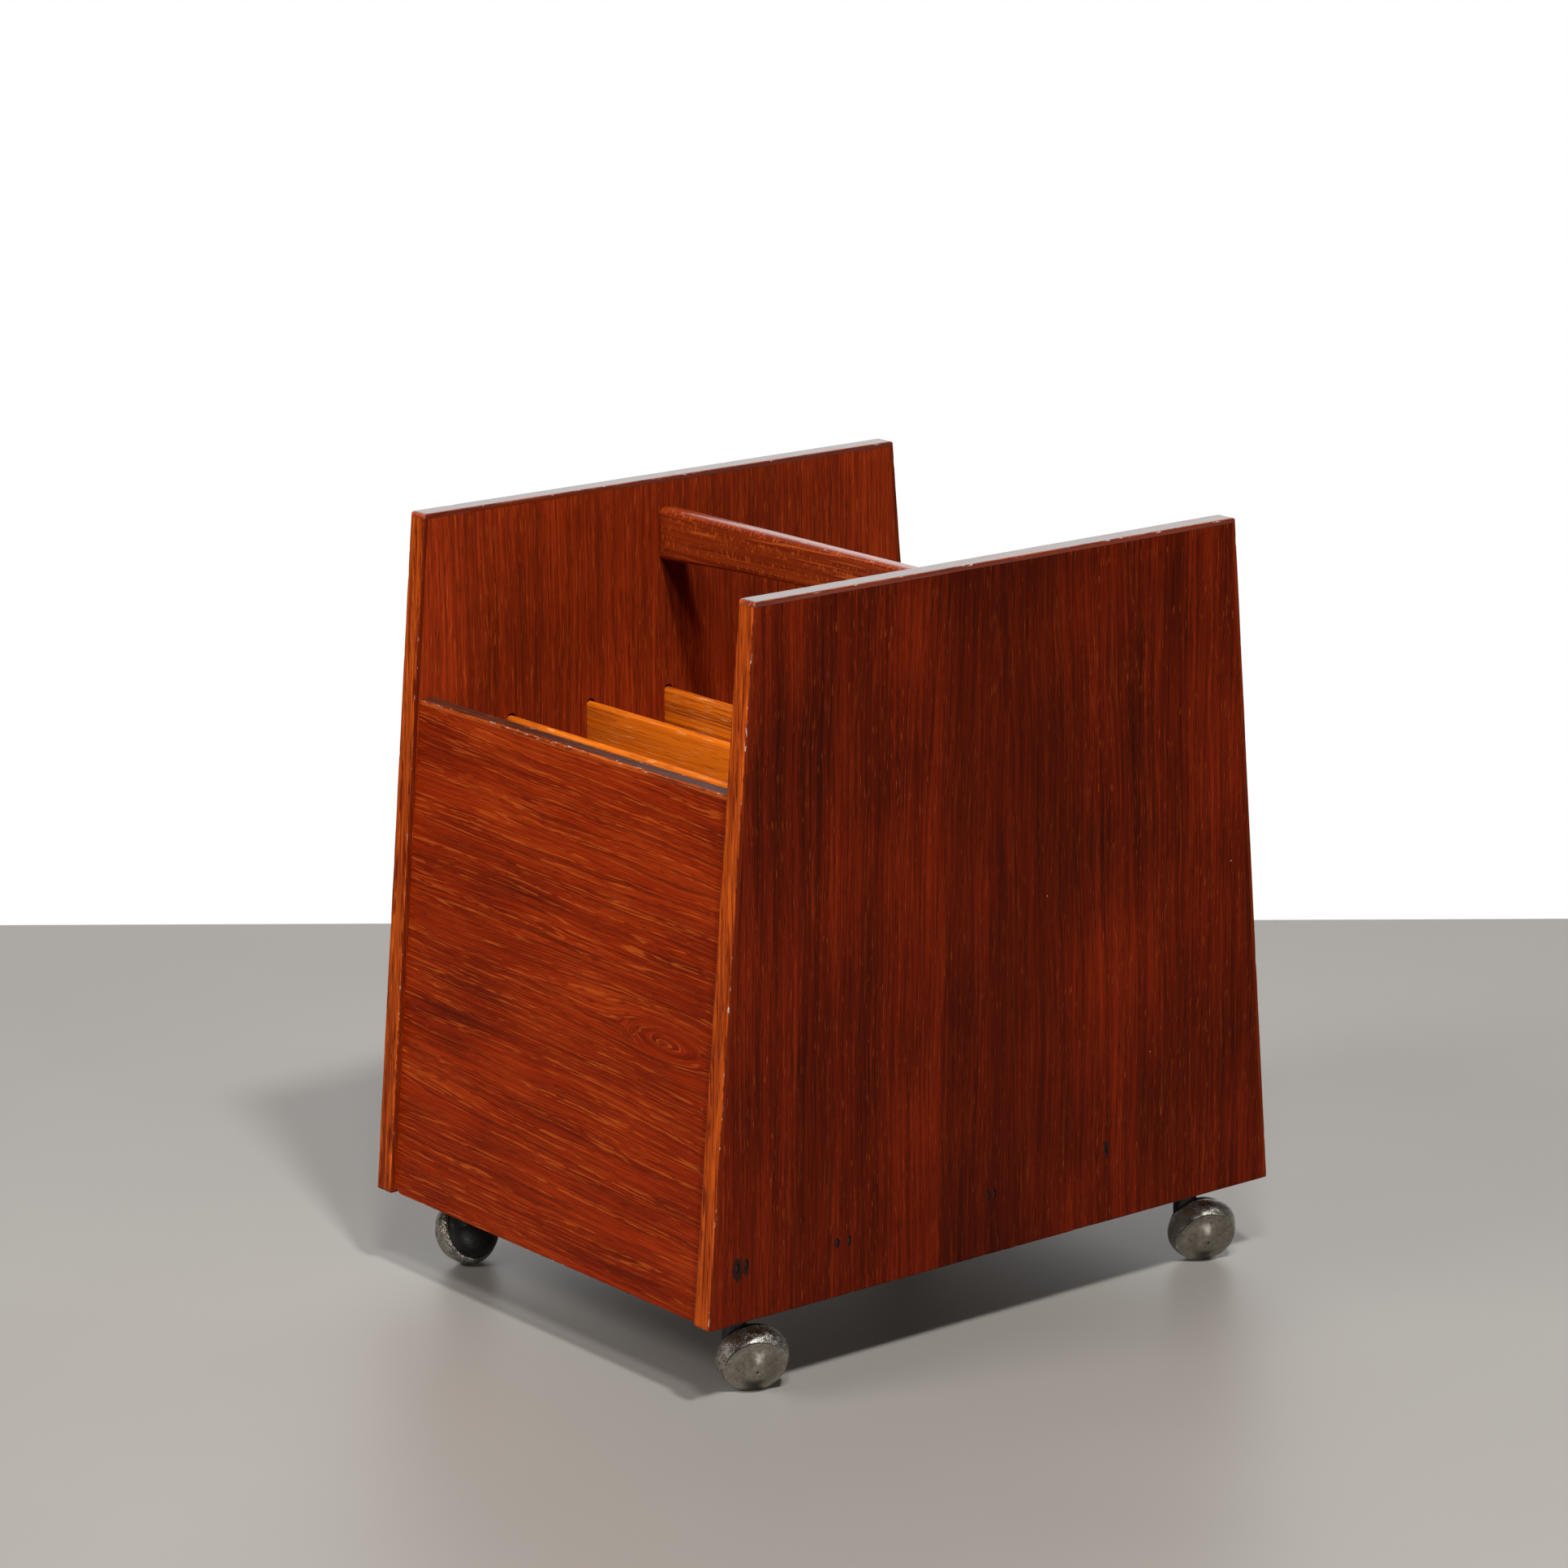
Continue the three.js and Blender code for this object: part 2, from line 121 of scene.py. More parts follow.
class RackColours(bpy.types.PropertyGroup):
    side_dark: colour_property("Side, dark", "2A0802", "Dark figure of the side veneer")
    side_mid: colour_property("Side", "521203", "Ground of the side veneer")
    side_light: colour_property("Side, light", "782006", "Light figure of the side veneer")
    front_dark: colour_property("Front, dark", "541203", "Dark lines of the front veneer")
    front_mid: colour_property("Front", "902604", "Ground of the front veneer")
    front_light: colour_property("Front, light", "B84412", "Light lines of the front veneer")
    edge_dark: colour_property("Edging, dark", "6A1A05", "Dark grain of the edging")
    edge_light: colour_property("Edging, light", "D05A16", "Light grain of the edging")
    # painted sheen: the top edges' tones are greyer and darker than the edging's own, standing in for the
    # grey sheen on upward faces
    cap_sheen_dark: colour_property("Top edging, dark", "30120A", "Dark grain of the top edges")
    cap_sheen_light: colour_property("Top edging, light", "5C3022", "Light grain of the top edges")
    handle_dark: colour_property("Handle, dark", "681C0A", "Dark grain of the handle")
    handle_light: colour_property("Handle, light", "9E3C12", "Light grain of the handle")
    divider_dark: colour_property("Divider, dark", "963C06", "Dark grain of the dividers")
    divider_light: colour_property("Divider, light", "F07A0C", "Ground of the dividers")
    plain_light: colour_property("Bare wood", "B08858", "Unpolished wood under the bottom")
    fleck: colour_property("Fleck", "C65A1C", "Pale filling in the pores")
    steel: colour_property("Steel", "9C968C", "Dull metal of the wheel domes")
    chrome: colour_property("Chrome", "C4BEB4", "Plated metal of the treads")
    hood: colour_property("Hood", "100F0E", "Black casing of the casters")
    nail: colour_property("Nail", "1C1512", "Rusted nail heads")
    floor: colour_property("Floor", "96918A", "Plain studio floor")


# ---- shader maths ----
class Value:
    """A number or colour in a node tree. Numbers take part in arithmetic."""

    def __init__(self, nodes, socket):
        self.nodes = nodes
        self.socket = socket

    def math(self, operation, first, second=0.0):
        return self.nodes.node("ShaderNodeMath", {"operation": operation}, {0: first, 1: second})

    def __add__(self, other):
        return self.math("ADD", self, other)

    def __radd__(self, other):
        return self.math("ADD", other, self)

    def __sub__(self, other):
        return self.math("SUBTRACT", self, other)

    def __rsub__(self, other):
        return self.math("SUBTRACT", other, self)

    def __mul__(self, other):
        return self.math("MULTIPLY", self, other)

    def __rmul__(self, other):
        return self.math("MULTIPLY", other, self)

    def __truediv__(self, other):
        return self.math("DIVIDE", self, other)

    def __rtruediv__(self, other):
        return self.math("DIVIDE", other, self)

    def __pow__(self, other):
        return self.math("POWER", self, other)

    def __abs__(self):
        return self.math("ABSOLUTE", self)


class Nodes:
    """The node tree of a finish or of the surroundings."""

    def __init__(self, tree):
        self.tree = tree

    def fill(self, socket, value):
        if isinstance(value, Value):
            self.tree.links.new(value.socket, socket)
        elif isinstance(value, (tuple, list)) and len(value) == 3 and socket.type == "RGBA":
            socket.default_value = (*value, 1)
        else:
            socket.default_value = value

    def node(self, kind, settings, sockets, output=0):
        """Adds a node: its settings first, then its sockets, and gives back one of its outputs."""
        made = self.tree.nodes.new(kind)
        for setting, value in settings.items():
            if setting == "stops":
                self.set_stops(made.color_ramp, value)
            else:
                setattr(made, setting, value)
        for key, value in sockets.items():
            self.fill(made.inputs[key], value)
        return Value(self, made.outputs[output])

    def set_stops(self, ramp, stops):
        while len(ramp.elements) < len(stops):
            ramp.elements.new(1)
        for element, (position, colour) in zip(ramp.elements, stops):
            element.position = position
            element.color = (*colour[:3], 1)


class Finish(Nodes):
    """A material and its nodes."""

    def __init__(self, name, **fixed):
        self.material = bpy.data.materials.new(name)
        self.material.use_nodes = True
        super().__init__(self.material.node_tree)
        self.shader = self.tree.nodes["Principled BSDF"]
        for socket, value in fixed.items():
            self.shader.inputs[socket.replace("_", " ")].default_value = value

    def axes(self, output):
        point = self.node("ShaderNodeTexCoord", {}, {}, output)
        return [self.node("ShaderNodeSeparateXYZ", {}, {0: point}, i) for i in range(3)]

    def position(self):
        """The point on the piece, in millimetres."""
        return [part * 1000.0 for part in self.axes("Object")]

    def facing(self):
        """How far the unbumped surface faces along each axis."""
        return self.axes("Normal")

    def vector(self, x, y, z):
        return self.node("ShaderNodeCombineXYZ", {}, {0: x, 1: y, 2: z})

    def noise(self, x, y, z, detail=2.0, roughness=0.5, distortion=0.0):
        sockets = {"Vector": self.vector(x, y, z), "Scale": 1.0, "Detail": detail}
        sockets.update({"Roughness": roughness, "Distortion": distortion})
        return self.node("ShaderNodeTexNoise", {}, sockets)

    def speck(self, x, y, z):
        """Distance to the nearest of many scattered points."""
        sockets = {"Vector": self.vector(x, y, z), "Scale": 1.0}
        return self.node("ShaderNodeTexVoronoi", {}, sockets, "Distance")

    def smooth(self, value, low, high):
        """0 below low, 1 above high, and a smooth step between them; low may be the greater."""
        settings = {"interpolation_type": "SMOOTHSTEP"}
        if low < high:
            return self.node("ShaderNodeMapRange", settings, {0: value, 1: low, 2: high})
        return 1.0 - self.node("ShaderNodeMapRange", settings, {0: value, 1: high, 2: low})

    def larger(self, first, second):
        return self.node("ShaderNodeMath", {"operation": "MAXIMUM"}, {0: first, 1: second})

    def smaller(self, first, second):
        return self.node("ShaderNodeMath", {"operation": "MINIMUM"}, {0: first, 1: second})

    def ramp(self, value, *stops):
        return self.node("ShaderNodeValToRGB", {"stops": stops}, {0: value})

    def blend(self, factor, base, top, mode="MIX"):
        settings = {"data_type": "RGBA", "blend_type": mode}
        return self.node("ShaderNodeMix", settings, {0: factor, 6: base, 7: top}, 2)

    def attribute(self, name):
        return self.node("ShaderNodeAttribute", {"attribute_name": name}, {}, "Fac")

    def surface(self, colour, roughness, height=None, depth=0.0002, strength=1.0):
        """Gives the shader its colour and roughness, and the bumps of a height that stand for a depth."""
        inputs = {"Base Color": colour, "Roughness": roughness}
        if height is not None:
            sockets = {"Strength": strength, "Distance": depth, "Height": height}
            inputs["Normal"] = self.node("ShaderNodeBump", {}, sockets)
        for socket, value in inputs.items():
            self.fill(self.shader.inputs[socket], value)
        return self.material


def hypot(*parts):
    """The length of a vector given by its parts."""
    total = parts[0] * parts[0]
    for part in parts[1:]:
        total = total + part * part
    return total**0.5


# ---- wood ----
# A figure turns (along, across, depth) into the growth rings' value, the fibres' value, and a shift that
# makes the two sides of an arch or an eye differ.
def straight_figure(wander, seed):
    """Growth rings that run straight up the board, with a slow wander."""

    def figure(f, along, across, depth):
        slow = f.noise(across * 0.006, along * 0.003, depth + seed, detail=1.0)
        quick = f.noise(across * 0.03, along * 0.012, depth + seed + 5.0, detail=1.0)
        drift = (slow - 0.5) * wander + (quick - 0.5) * (wander * 0.25)
        return across + drift, across + drift, 0.0

    return figure


def cathedral_figure(centre, tip, slope, wander, seed):
    """Rings in tall arches about a centre line, as a flat-sawn board shows."""

    def figure(f, along, across, depth):
        slow = f.noise(across * 0.007, along * 0.004, depth + seed, detail=1.0)
        quick = f.noise(across * 0.035, along * 0.014, depth + seed + 5.0, detail=1.5)
        drift = (slow - 0.5) * wander + (quick - 0.5) * (wander * 0.35)
        bent = across - centre + drift
        arch = (bent * bent + tip * tip) ** 0.5
        return arch + along * slope, across + drift * 0.5, f.smooth(bent, -1.6 * tip, 1.6 * tip) * 1.7

    return figure


def knot_figure(centre, radius, stretch, tilt, seed):
    """Lines that run along the board and part round an eye."""

    def figure(f, along, across, depth):
        slow = f.noise(along * 0.004, across * 0.01, depth + seed, detail=1.0)
        quick = f.noise(along * 0.02, across * 0.05, depth + seed + 5.0, detail=1.0)
        from_eye = along - centre[0]
        level = across - centre[1] + from_eye * tilt + (quick - 0.5) * 3.0
        spread = from_eye / stretch
        away = (spread * spread + level * level) ** 0.5
        outside = level * (1.0 - (radius * radius) / f.larger(away * away, radius * radius))
        inside = (f.smaller(away, radius) - radius) * 0.8
        lines = outside + inside + (slow - 0.5) * 14.0
        return lines, lines, f.smooth(level, -radius, radius) * 1.5

    return figure


def lay_wood(f, place, figure, tones, look):
    """Adds a lacquered wood to a finish, and gives back its colour, its roughness and its height."""
    along, across, depth = place
    dark, mid, light = tones
    side = depth * 0.3 + look["seed"]
    ring, grain, shift = figure(f, along, across, side)
    turned = side + shift
    band = look["band"]
    rough = look["rough"]
    bands = f.noise(ring * band, along * band * 0.014, turned, detail=5.0, roughness=rough)
    lines = f.noise(ring * look["line"], along * 0.003, turned + 2.0, detail=1.0)
    fibres = f.noise(grain * look["fibre"], along * 0.012, side + 3.0, detail=2.0, roughness=0.6)
    blotch = f.noise(along * 0.009, across * 0.014, side + 9.0, detail=2.0)
    driver = 0.5 + (bands - 0.5) * look["broad"] + (fibres - 0.5) * look["contrast"]
    driver = driver + (blotch - 0.5) * look["blotch"]
    colour = f.ramp(driver, (0.34, dark), (0.5, mid), (0.68, light))
    veins = f.smooth(lines, 0.47, 0.35)
    colour = f.blend(veins * look["vein"], colour, dark)
    thread = f.noise(ring * look["thread"], along * 0.004, turned + 8.0, detail=1.0) - 0.5
    broken = f.smooth(f.noise(along * 0.07, ring * 0.7, side + 10.0, detail=1.0), 0.4, 0.54)
    shaded = f.smooth(abs(thread - 0.05), 0.05, 0.02)
    lit = f.smooth(abs(thread), 0.03, 0.01) * broken
    colour = f.blend(shaded * (look["thread_strength"] * 0.7), colour, dark)
    colour = f.blend(lit * look["thread_strength"], colour, look["fleck"])
    dash = f.noise(grain * look["pore"], along * look["dash"], side + 4.0, detail=0.0)
    thick = f.noise(grain * 0.06, along * 0.01, side + 6.0, detail=2.0)
    density = (thick - 0.5) * 0.14
    pale = look["pale"]
    open_pores = f.smooth(dash + density, pale, pale + 0.06)
    closed_pores = f.smooth(dash - density, 0.3, 0.24)
    colour = f.blend(closed_pores * 0.5, colour, dark)
    colour = f.blend(open_pores * look["fleck_strength"], colour, look["fleck"])
    dust = f.smooth(f.speck(along * 0.03, across * 0.03, side), 0.014, 0.007)
    colour = f.blend(dust * 0.8, colour, (0.7, 0.5, 0.38))
    roughness = look["gloss"] + (fibres - 0.5) * 0.12 + open_pores * 0.2
    height = fibres * 0.4 - closed_pores * 0.5 - open_pores * 0.3 - veins * 0.2
    return colour, roughness, height


def shades(dark, light):
    """Dark, middle and light tones of a wood."""
    return tuple(dark), tuple((a + b) / 2 for a, b in zip(dark, light)), tuple(light)


def worn(f, place, colour, roughness, pale, dark, share=1.0):
    """Rubs a colour through along the edges: pale where the lacquer is gone, dark where dirt sits."""
    along, across, depth = place
    wear = f.attribute("wear") * share
    grit = f.noise(along * 0.14, across * 0.5, depth * 0.5, detail=3.0, roughness=0.65)
    rubbed = wear * f.smooth(grit, 0.62, 0.68)
    dirty = wear * f.smooth(grit, 0.44, 0.38)
    colour = f.blend(dirty * 0.7, colour, dark)
    colour = f.blend(rubbed * 0.85, colour, pale)
    return colour, roughness + rubbed * 0.2


# The side veneer. Frequencies are per millimetre across the grain, and strengths run from 0.
SIDE_LOOK = {
    "band": 0.05,  # frequency of the broad bands
    "broad": 0.55,  # their strength
    "rough": 0.8,  # how much finer bands show in them
    "line": 0.42,  # frequency of the dark veins
    "vein": 0.3,  # their strength
    "thread": 0.3,  # frequency of the thin lines that follow the rings
    "thread_strength": 0.06,
    "fibre": 0.8,  # frequency of the fibres
    "contrast": 0.38,  # their strength
    "blotch": 0.3,  # strength of the large uneven patches
    "pore": 1.9,  # frequency of the pores
    "dash": 0.11,  # and along the grain
    "pale": 0.73,  # level above which a pore holds pale filler
    "fleck_strength": 0.2,
    "gloss": 0.4,  # roughness of the lacquer
}


def wood_look(colours, seed, **changes):
    """The side veneer's look under another seed, with some of it changed."""
    look = dict(SIDE_LOOK, seed=seed, fleck=tuple(colours.fleck))
    look.update(changes)
    return look


def side_veneer_finish(name, colours, seed, marks, figure, lift, changes, heart):
    """A side panel's veneer: its tones lifted (painted light on the left panel), a dark heart down it, and
    dark marks round the nails.
    """
    f = Finish(name, Specular_IOR_Level=0.05)
    x, y, z = f.position()
    place = (z, y, x)
    look = wood_look(colours, seed, **changes)
    base = (colours.side_dark, colours.side_mid, colours.side_light)
    # painted light: lifting the tones brightens a panel's whole veneer
    tones = [tuple(part * more for part, more in zip(colour, lift)) for colour in base]
    colour, roughness, height = lay_wood(f, place, figure, tones, look)
    if heart:
        centre, heart_half = heart
        ragged = f.noise(y * 0.02, z * 0.008, seed + 12.0, detail=3.0)
        from_heart = abs(y - centre) + (ragged - 0.5) * 60.0
        heartwood = f.smooth(from_heart, heart_half * 1.3, heart_half * 0.7)
        colour = f.blend(heartwood * 0.36, colour, tones[0])
    for mark_y, mark_z, half_width, half_height in marks:
        ragged = f.noise(y * 0.5, z * 0.25, seed, detail=2.0)
        away = hypot((y - mark_y) / half_width, (z - mark_z) / half_height) + (ragged - 0.5) * 0.9
        colour = f.blend(f.smooth(away, 1.15, 0.75) * 0.9, colour, tuple(colours.nail))
    colour, roughness = worn(f, place, colour, roughness, look["fleck"], tuple(colours.side_dark))
    return f.surface(colour, roughness, height)


# Each edging's (along, across, depth) from (x, y, z), its specular level, and the weight of its coat.
EDGING_LAYOUTS = {
    "up": (lambda x, y, z: (z, y + x, x), 0.06, 0.0),
    "back": (lambda x, y, z: (y, x, z), 0.5, 0.8),
    "across": (lambda x, y, z: (x, y + z, z), 0.15, 0.0),
}


def edging_finish(name, colours, seed, layout):
    turn, specular, coat = EDGING_LAYOUTS[layout]
    f = Finish(name, Specular_IOR_Level=specular, Coat_Weight=coat, Coat_Roughness=0.2)
    place = turn(*f.position())
    look = wood_look(
        colours, seed, band=0.16, line=0.6, vein=0.4, fibre=0.9, contrast=0.9, pore=1.0, dash=0.05, pale=0.66
    )
    figure = straight_figure(6.0, seed)
    tones = shades(colours.edge_dark, colours.edge_light)
    colour, roughness, height = lay_wood(f, place, figure, tones, look)
    across_face, _, upward = f.facing()
    if layout != "across":
        beside = f.smooth(abs(across_face), 0.6, 0.85)
        colour = f.blend(beside * 0.85, colour, tuple(colours.side_mid))
    if layout != "up":
        # painted sheen: faces that look up take the greyer, darker top-edge tones instead of the same strip's
        # own colour
        upward_sheen = f.smooth(upward, 0.75, 0.95)
        cap_sheen_tones = shades(colours.cap_sheen_dark, colours.cap_sheen_light)
        cap_sheen_colour = lay_wood(f, place, figure, cap_sheen_tones, look)[0]
        colour = f.blend(upward_sheen, colour, cap_sheen_colour)
    bare = (0.62, 0.5, 0.42)
    colour, roughness = worn(f, place, colour, roughness, bare, tuple(colours.side_dark))
    return f.surface(colour, roughness, height)


def front_veneer_finish(name, colours, seed, figure):
    f = Finish(name, Specular_IOR_Level=0.05)
    x, y, z = f.position()
    place = (x, z, y)
    look = wood_look(colours, seed, broad=0.25, line=0.5, fibre=1.1, contrast=0.35, thread_strength=0.55)
    look.update(pore=1.4, dash=0.07, pale=0.71, fleck_strength=0.25)
    tones = (tuple(colours.front_dark), tuple(colours.front_mid), tuple(colours.front_light))
    colour, roughness, height = lay_wood(f, place, figure, tones, look)
    colour, roughness = worn(f, place, colour, roughness, look["fleck"], tuple(colours.side_dark))
    return f.surface(colour, roughness, height, 0.0003)


def handle_finish(name, colours):
    """Solid wood with short rays across its grain, under a glossy coat."""
    f = Finish(name, Specular_IOR_Level=0.2, Coat_Weight=0.6, Coat_Roughness=0.13)
    x, y, z = f.position()
    place = (x, z, y)
    seed = 31.0
    look = wood_look(colours, seed, band=0.09, line=0.5, vein=0.5, fibre=0.9, pore=0.6)
    look.update(dash=0.014, pale=0.68, fleck_strength=0.6, gloss=0.3)
    tones = shades(colours.handle_dark, colours.handle_light)
    colour, roughness, height = lay_wood(f, place, straight_figure(8.0, seed), tones, look)
    row = f.noise(x * 0.015, z * 0.3, 3.0, detail=1.0)
    tick = f.noise(x * 0.85, z * 0.3, y * 0.2, detail=0.0)
    rays = f.smooth(tick, 0.6, 0.68) * f.smooth(row, 0.4, 0.55)
    colour = f.blend(rays * 0.55, colour, look["fleck"])
    bare = (0.5, 0.4, 0.36)
    colour, roughness = worn(f, place, colour, roughness, bare, tones[0], 0.6)
    return f.surface(colour, roughness, height)


def divider_finish(name, colours, seed, contrast):
    f = Finish(name, Specular_IOR_Level=0.3)
    x, y, z = f.position()
    look = wood_look(colours, seed, fleck=(0.85, 0.5, 0.2), band=0.1, line=0.8, pore=1.5, dash=0.06)
    look.update(broad=contrast * 0.6, contrast=0.3 + contrast * 0.4, vein=contrast * 0.7)
    look.update(pale=0.76 - contrast * 0.08, fleck_strength=0.3, gloss=0.45)
    dark = tuple(colours.divider_dark)
    light = tuple(colours.divider_light)
    mid = tuple(a * 0.3 + b * 0.7 for a, b in zip(dark, light))
    figure = straight_figure(10.0, seed)
    return f.surface(*lay_wood(f, (x, z, y), figure, (dark, mid, light), look))


def plain_wood_finish(name, colours):
    f = Finish(name, Specular_IOR_Level=0.25)
    seed = 51.0
    look = wood_look(colours, seed, fleck=(0.6, 0.45, 0.3), gloss=0.7, contrast=0.4, pale=0.76)
    light = tuple(colours.plain_light)
    mid = tuple(a * 0.75 for a in light)
    dark = tuple(a * 0.45 for a in light)
    figure = straight_figure(20.0, seed)
    return f.surface(*lay_wood(f, f.position(), figure, (dark, mid, light), look), 0.0004)


# ---- metal ----
def dome_finish(name, colours):
    """Dull turned steel, brushed in rings and swirls about its own axis, which is the piece's Z."""
    f = Finish(name, Metallic=1.0)
    x, y, z = f.position()
    radius = hypot(x, y)
    rings = f.noise(radius * 2.2, 0.0, z * 0.2, detail=3.0)
    swirl = f.noise(x * 0.16, y * 0.16, 0.0, detail=3.0, roughness=0.65, distortion=1.2)
    stain = f.noise(x * 0.5, y * 0.5, z * 0.5, detail=4.0, roughness=0.7)
    base = tuple(colours.steel)
    dull = tuple(a * b for a, b in zip(base, (0.42, 0.38, 0.33)))
    colour = f.ramp(swirl * 0.45 + stain * 0.55, (0.3, dull), (0.62, base))
    # painted shade: the small dimple at the centre is painted near black, for the shade of a centre hole
    centre_shade = f.smooth(radius, 1.1, 0.6)
    colour = f.blend(centre_shade * 0.9, colour, (0.02, 0.017, 0.014))
    roughness = 0.24 + stain * 0.16 + (rings - 0.5) * 0.12
    height = rings * 0.3 + stain * 0.5
    return f.surface(colour, roughness, height, 0.0003, 0.7)


def tread_finish(name, colours):
    """Worn plating with dark pits."""
    f = Finish(name, Metallic=1.0)
    x, y, z = f.position()
    pits = f.noise(x * 1.4, y * 1.4, z * 1.4, detail=2.0, roughness=0.6)
    patches = f.noise(x * 0.2, y * 0.2, z * 0.2, detail=2.0)
    base = tuple(colours.chrome)
    rust = (0.05, 0.035, 0.025)
    spots = f.smooth(pits + (patches - 0.5) * 0.5, 0.52, 0.64)
    colour = f.blend(spots * 0.85, base, rust)
    roughness = 0.2 + spots * 0.3
    height = pits * 0.8 - spots
    return f.surface(colour, roughness, height, 0.0006)


def hood_finish(name, colours):
    f = Finish(name, Specular_IOR_Level=0.5)
    x, y, z = f.position()
    grain = f.noise(x * 1.6, y * 1.6, z * 1.6, detail=3.0)
    rub = f.noise(x * 0.15, y * 0.15, z * 0.15, detail=3.0)
    base = tuple(colours.hood)
    grey = tuple(a * 3 for a in base)
    colour = f.blend(f.smooth(rub, 0.5, 0.7), base, grey)
    roughness = 0.3 + grain * 0.25
    return f.surface(colour, roughness, grain, 0.0001)


def bright_steel_finish(name, colours):
    f = Finish(name, Metallic=1.0)
    x, y, z = f.position()
    lines = f.noise(x * 0.3, y * 0.3, z * 3.0, detail=3.0)
    base = tuple(colours.steel)
    dim = tuple(a * 0.55 for a in base)
    colour = f.ramp(lines, (0.35, dim), (0.6, base))
    return f.surface(colour, 0.22 + lines * 0.2, lines, 0.0001)


def nail_finish(name, colours):
    f = Finish(name, Metallic=0.5, Specular_IOR_Level=0.3)
    x, y, z = f.position()
    scale = f.noise(x * 1.5, y * 1.5, z * 1.5, detail=4.0, roughness=0.7)
    colour = f.ramp(scale, (0.35, tuple(colours.nail)), (0.65, (0.045, 0.022, 0.014)))
    return f.surface(colour, 0.5 + scale * 0.35, scale, 0.0003)


# ---- meshes ----
def mesh_data(mesh, name):
    """The mesh that a bmesh holds; the bmesh is freed."""
    data = bpy.data.meshes.new(name)
    mesh.to_mesh(data)
    mesh.free()
    return data


def add_object(name, data):
    made = bpy.data.objects.new(name, data)
    bpy.context.scene.collection.objects.link(made)
    return made


def applied(piece):
    """The mesh of a piece with its modifiers applied."""
    bpy.context.view_layer.update()
    shown = piece.evaluated_get(bpy.context.evaluated_depsgraph_get())
    return bpy.data.meshes.new_from_object(shown)


def declare(piece, body, node):
    """Says which body a piece rides on, and hides the CAD node that it stands for."""
    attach(piece, body)
    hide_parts(node)


def finish_mesh(mesh, name, material, body=None, node=None, sharp=35, matrix=None):
    """Turns a bmesh into a smooth-shaded piece."""
    bmesh.ops.recalc_face_normals(mesh, faces=mesh.faces)
    data = mesh_data(mesh, name)
    piece = add_object(name, data)
    if matrix is not None:
        piece.matrix_world = matrix
    data.materials.append(material)
    shade(data, sharp)
    if body:
        declare(piece, body, node)
    return piece


def shade(data, sharp):
    data.shade_smooth()
    data.set_sharp_from_angle(angle=math.radians(sharp))


def steps(low, high, step, fine=()):
    """Cutting lines from low to high, about a step apart, with finer ones next to both ends."""
    marks = {low, high}
    count = max(1, round((high - low) / step))
    marks.update(low + (high - low) * i / count for i in range(1, count))
    for offset in fine:
        marks = {m for m in marks if abs(m - low - offset) > 0.12 * MM and abs(high - offset - m) > 0.12 * MM}
        marks.update((low + offset, high - offset))
    marks.update((low, high))
    return sorted(marks)


ROUNDING_LINES = [d * MM for d in (0.18, 0.42, 0.75, 1.15, 1.6, 2.2, 3.2)]


def block(xs, us, zs, place):
    """The closed surface of a block cut along xs, us and zs; place turns (x, u, z) into a point."""
    mesh = bmesh.new()
    lines = (xs, us, zs)
    corners = {}

    def corner(key):
        if key not in corners:
            corners[key] = mesh.verts.new(place(*(line[i] for line, i in zip(lines, key))))
        return corners[key]

    for axis in range(3):
        first, second = [n for n in range(3) if n != axis]
        for end in (0, len(lines[axis]) - 1):
            for i in range(len(lines[first]) - 1):
                for j in range(len(lines[second]) - 1):
                    keys = []
                    for step_i, step_j in ((0, 0), (1, 0), (1, 1), (0, 1)):
                        key = [end, end, end]
                        key[first] = i + step_i
                        key[second] = j + step_j
                        keys.append(corner(tuple(key)))
                    mesh.faces.new(keys)
    return mesh


class Board:
    """A board bounded by planes, whose edges are rounded and knocked about."""

    def __init__(self, planes, edges, wear):
        self.planes = [(Vector(normal).normalized(), offset) for normal, offset in planes]
        self.edges = edges
        self.wear = wear

    def inside(self, point, plane):
        normal, offset = self.planes[plane]
        return offset - normal.dot(point)

    def radius(self, point, radius):
        """The rounding at a point: it varies slowly, and is larger where the edge has been knocked."""
        slow = noise.noise(point * 45)
        knock = max(0.0, noise.noise(point * 130 + Vector((7, 3, 1))) - 0.34)
        return radius * (1 + 0.3 * slow) + self.wear * knock * 2.5

    def eased(self, point):
        """The point, moved onto the rounding of any edge that it is outside of."""
        moved = Vector(point)
        for first, second, base in self.edges:
            radius = self.radius(moved, base)
            gap_a = radius - self.inside(moved, first)
            gap_b = radius - self.inside(moved, second)
            if gap_a <= 0 or gap_b <= 0:
                continue
            length = math.hypot(gap_a, gap_b)
            if length > radius:
                keep = 1 - radius / length
                moved -= self.planes[first][0] * gap_a * keep
                moved -= self.planes[second][0] * gap_b * keep
        return moved

    def piece(self, mesh, name, material, slot, node, sharp=35, cutters=(), join=False, reach=0.95):
        """Makes a piece of this board, cut by or joined with other shapes, with its worn edges marked."""
        piece = finish_mesh(mesh, name, material, "rack", node, sharp)
        if cutters:
            cut(piece, cutters, "UNION" if join else "DIFFERENCE")
            shade(piece.data, sharp)
        self.mark_wear(piece.data, reach)

    def mark_wear(self, data, reach):
        """Stores how near each corner of the mesh is to a rounded edge, for the finish to rub through."""
        layer = data.attributes.new("wear", "FLOAT", "POINT")
        for vertex in data.vertices:
            most = 0.0
            for first, second, base in self.edges:
                near = max(self.inside(vertex.co, first), self.inside(vertex.co, second))
                most = max(most, 1 - near / (base * reach))
            layer.data[vertex.index].value = max(0.0, min(1.0, most * 1.6))


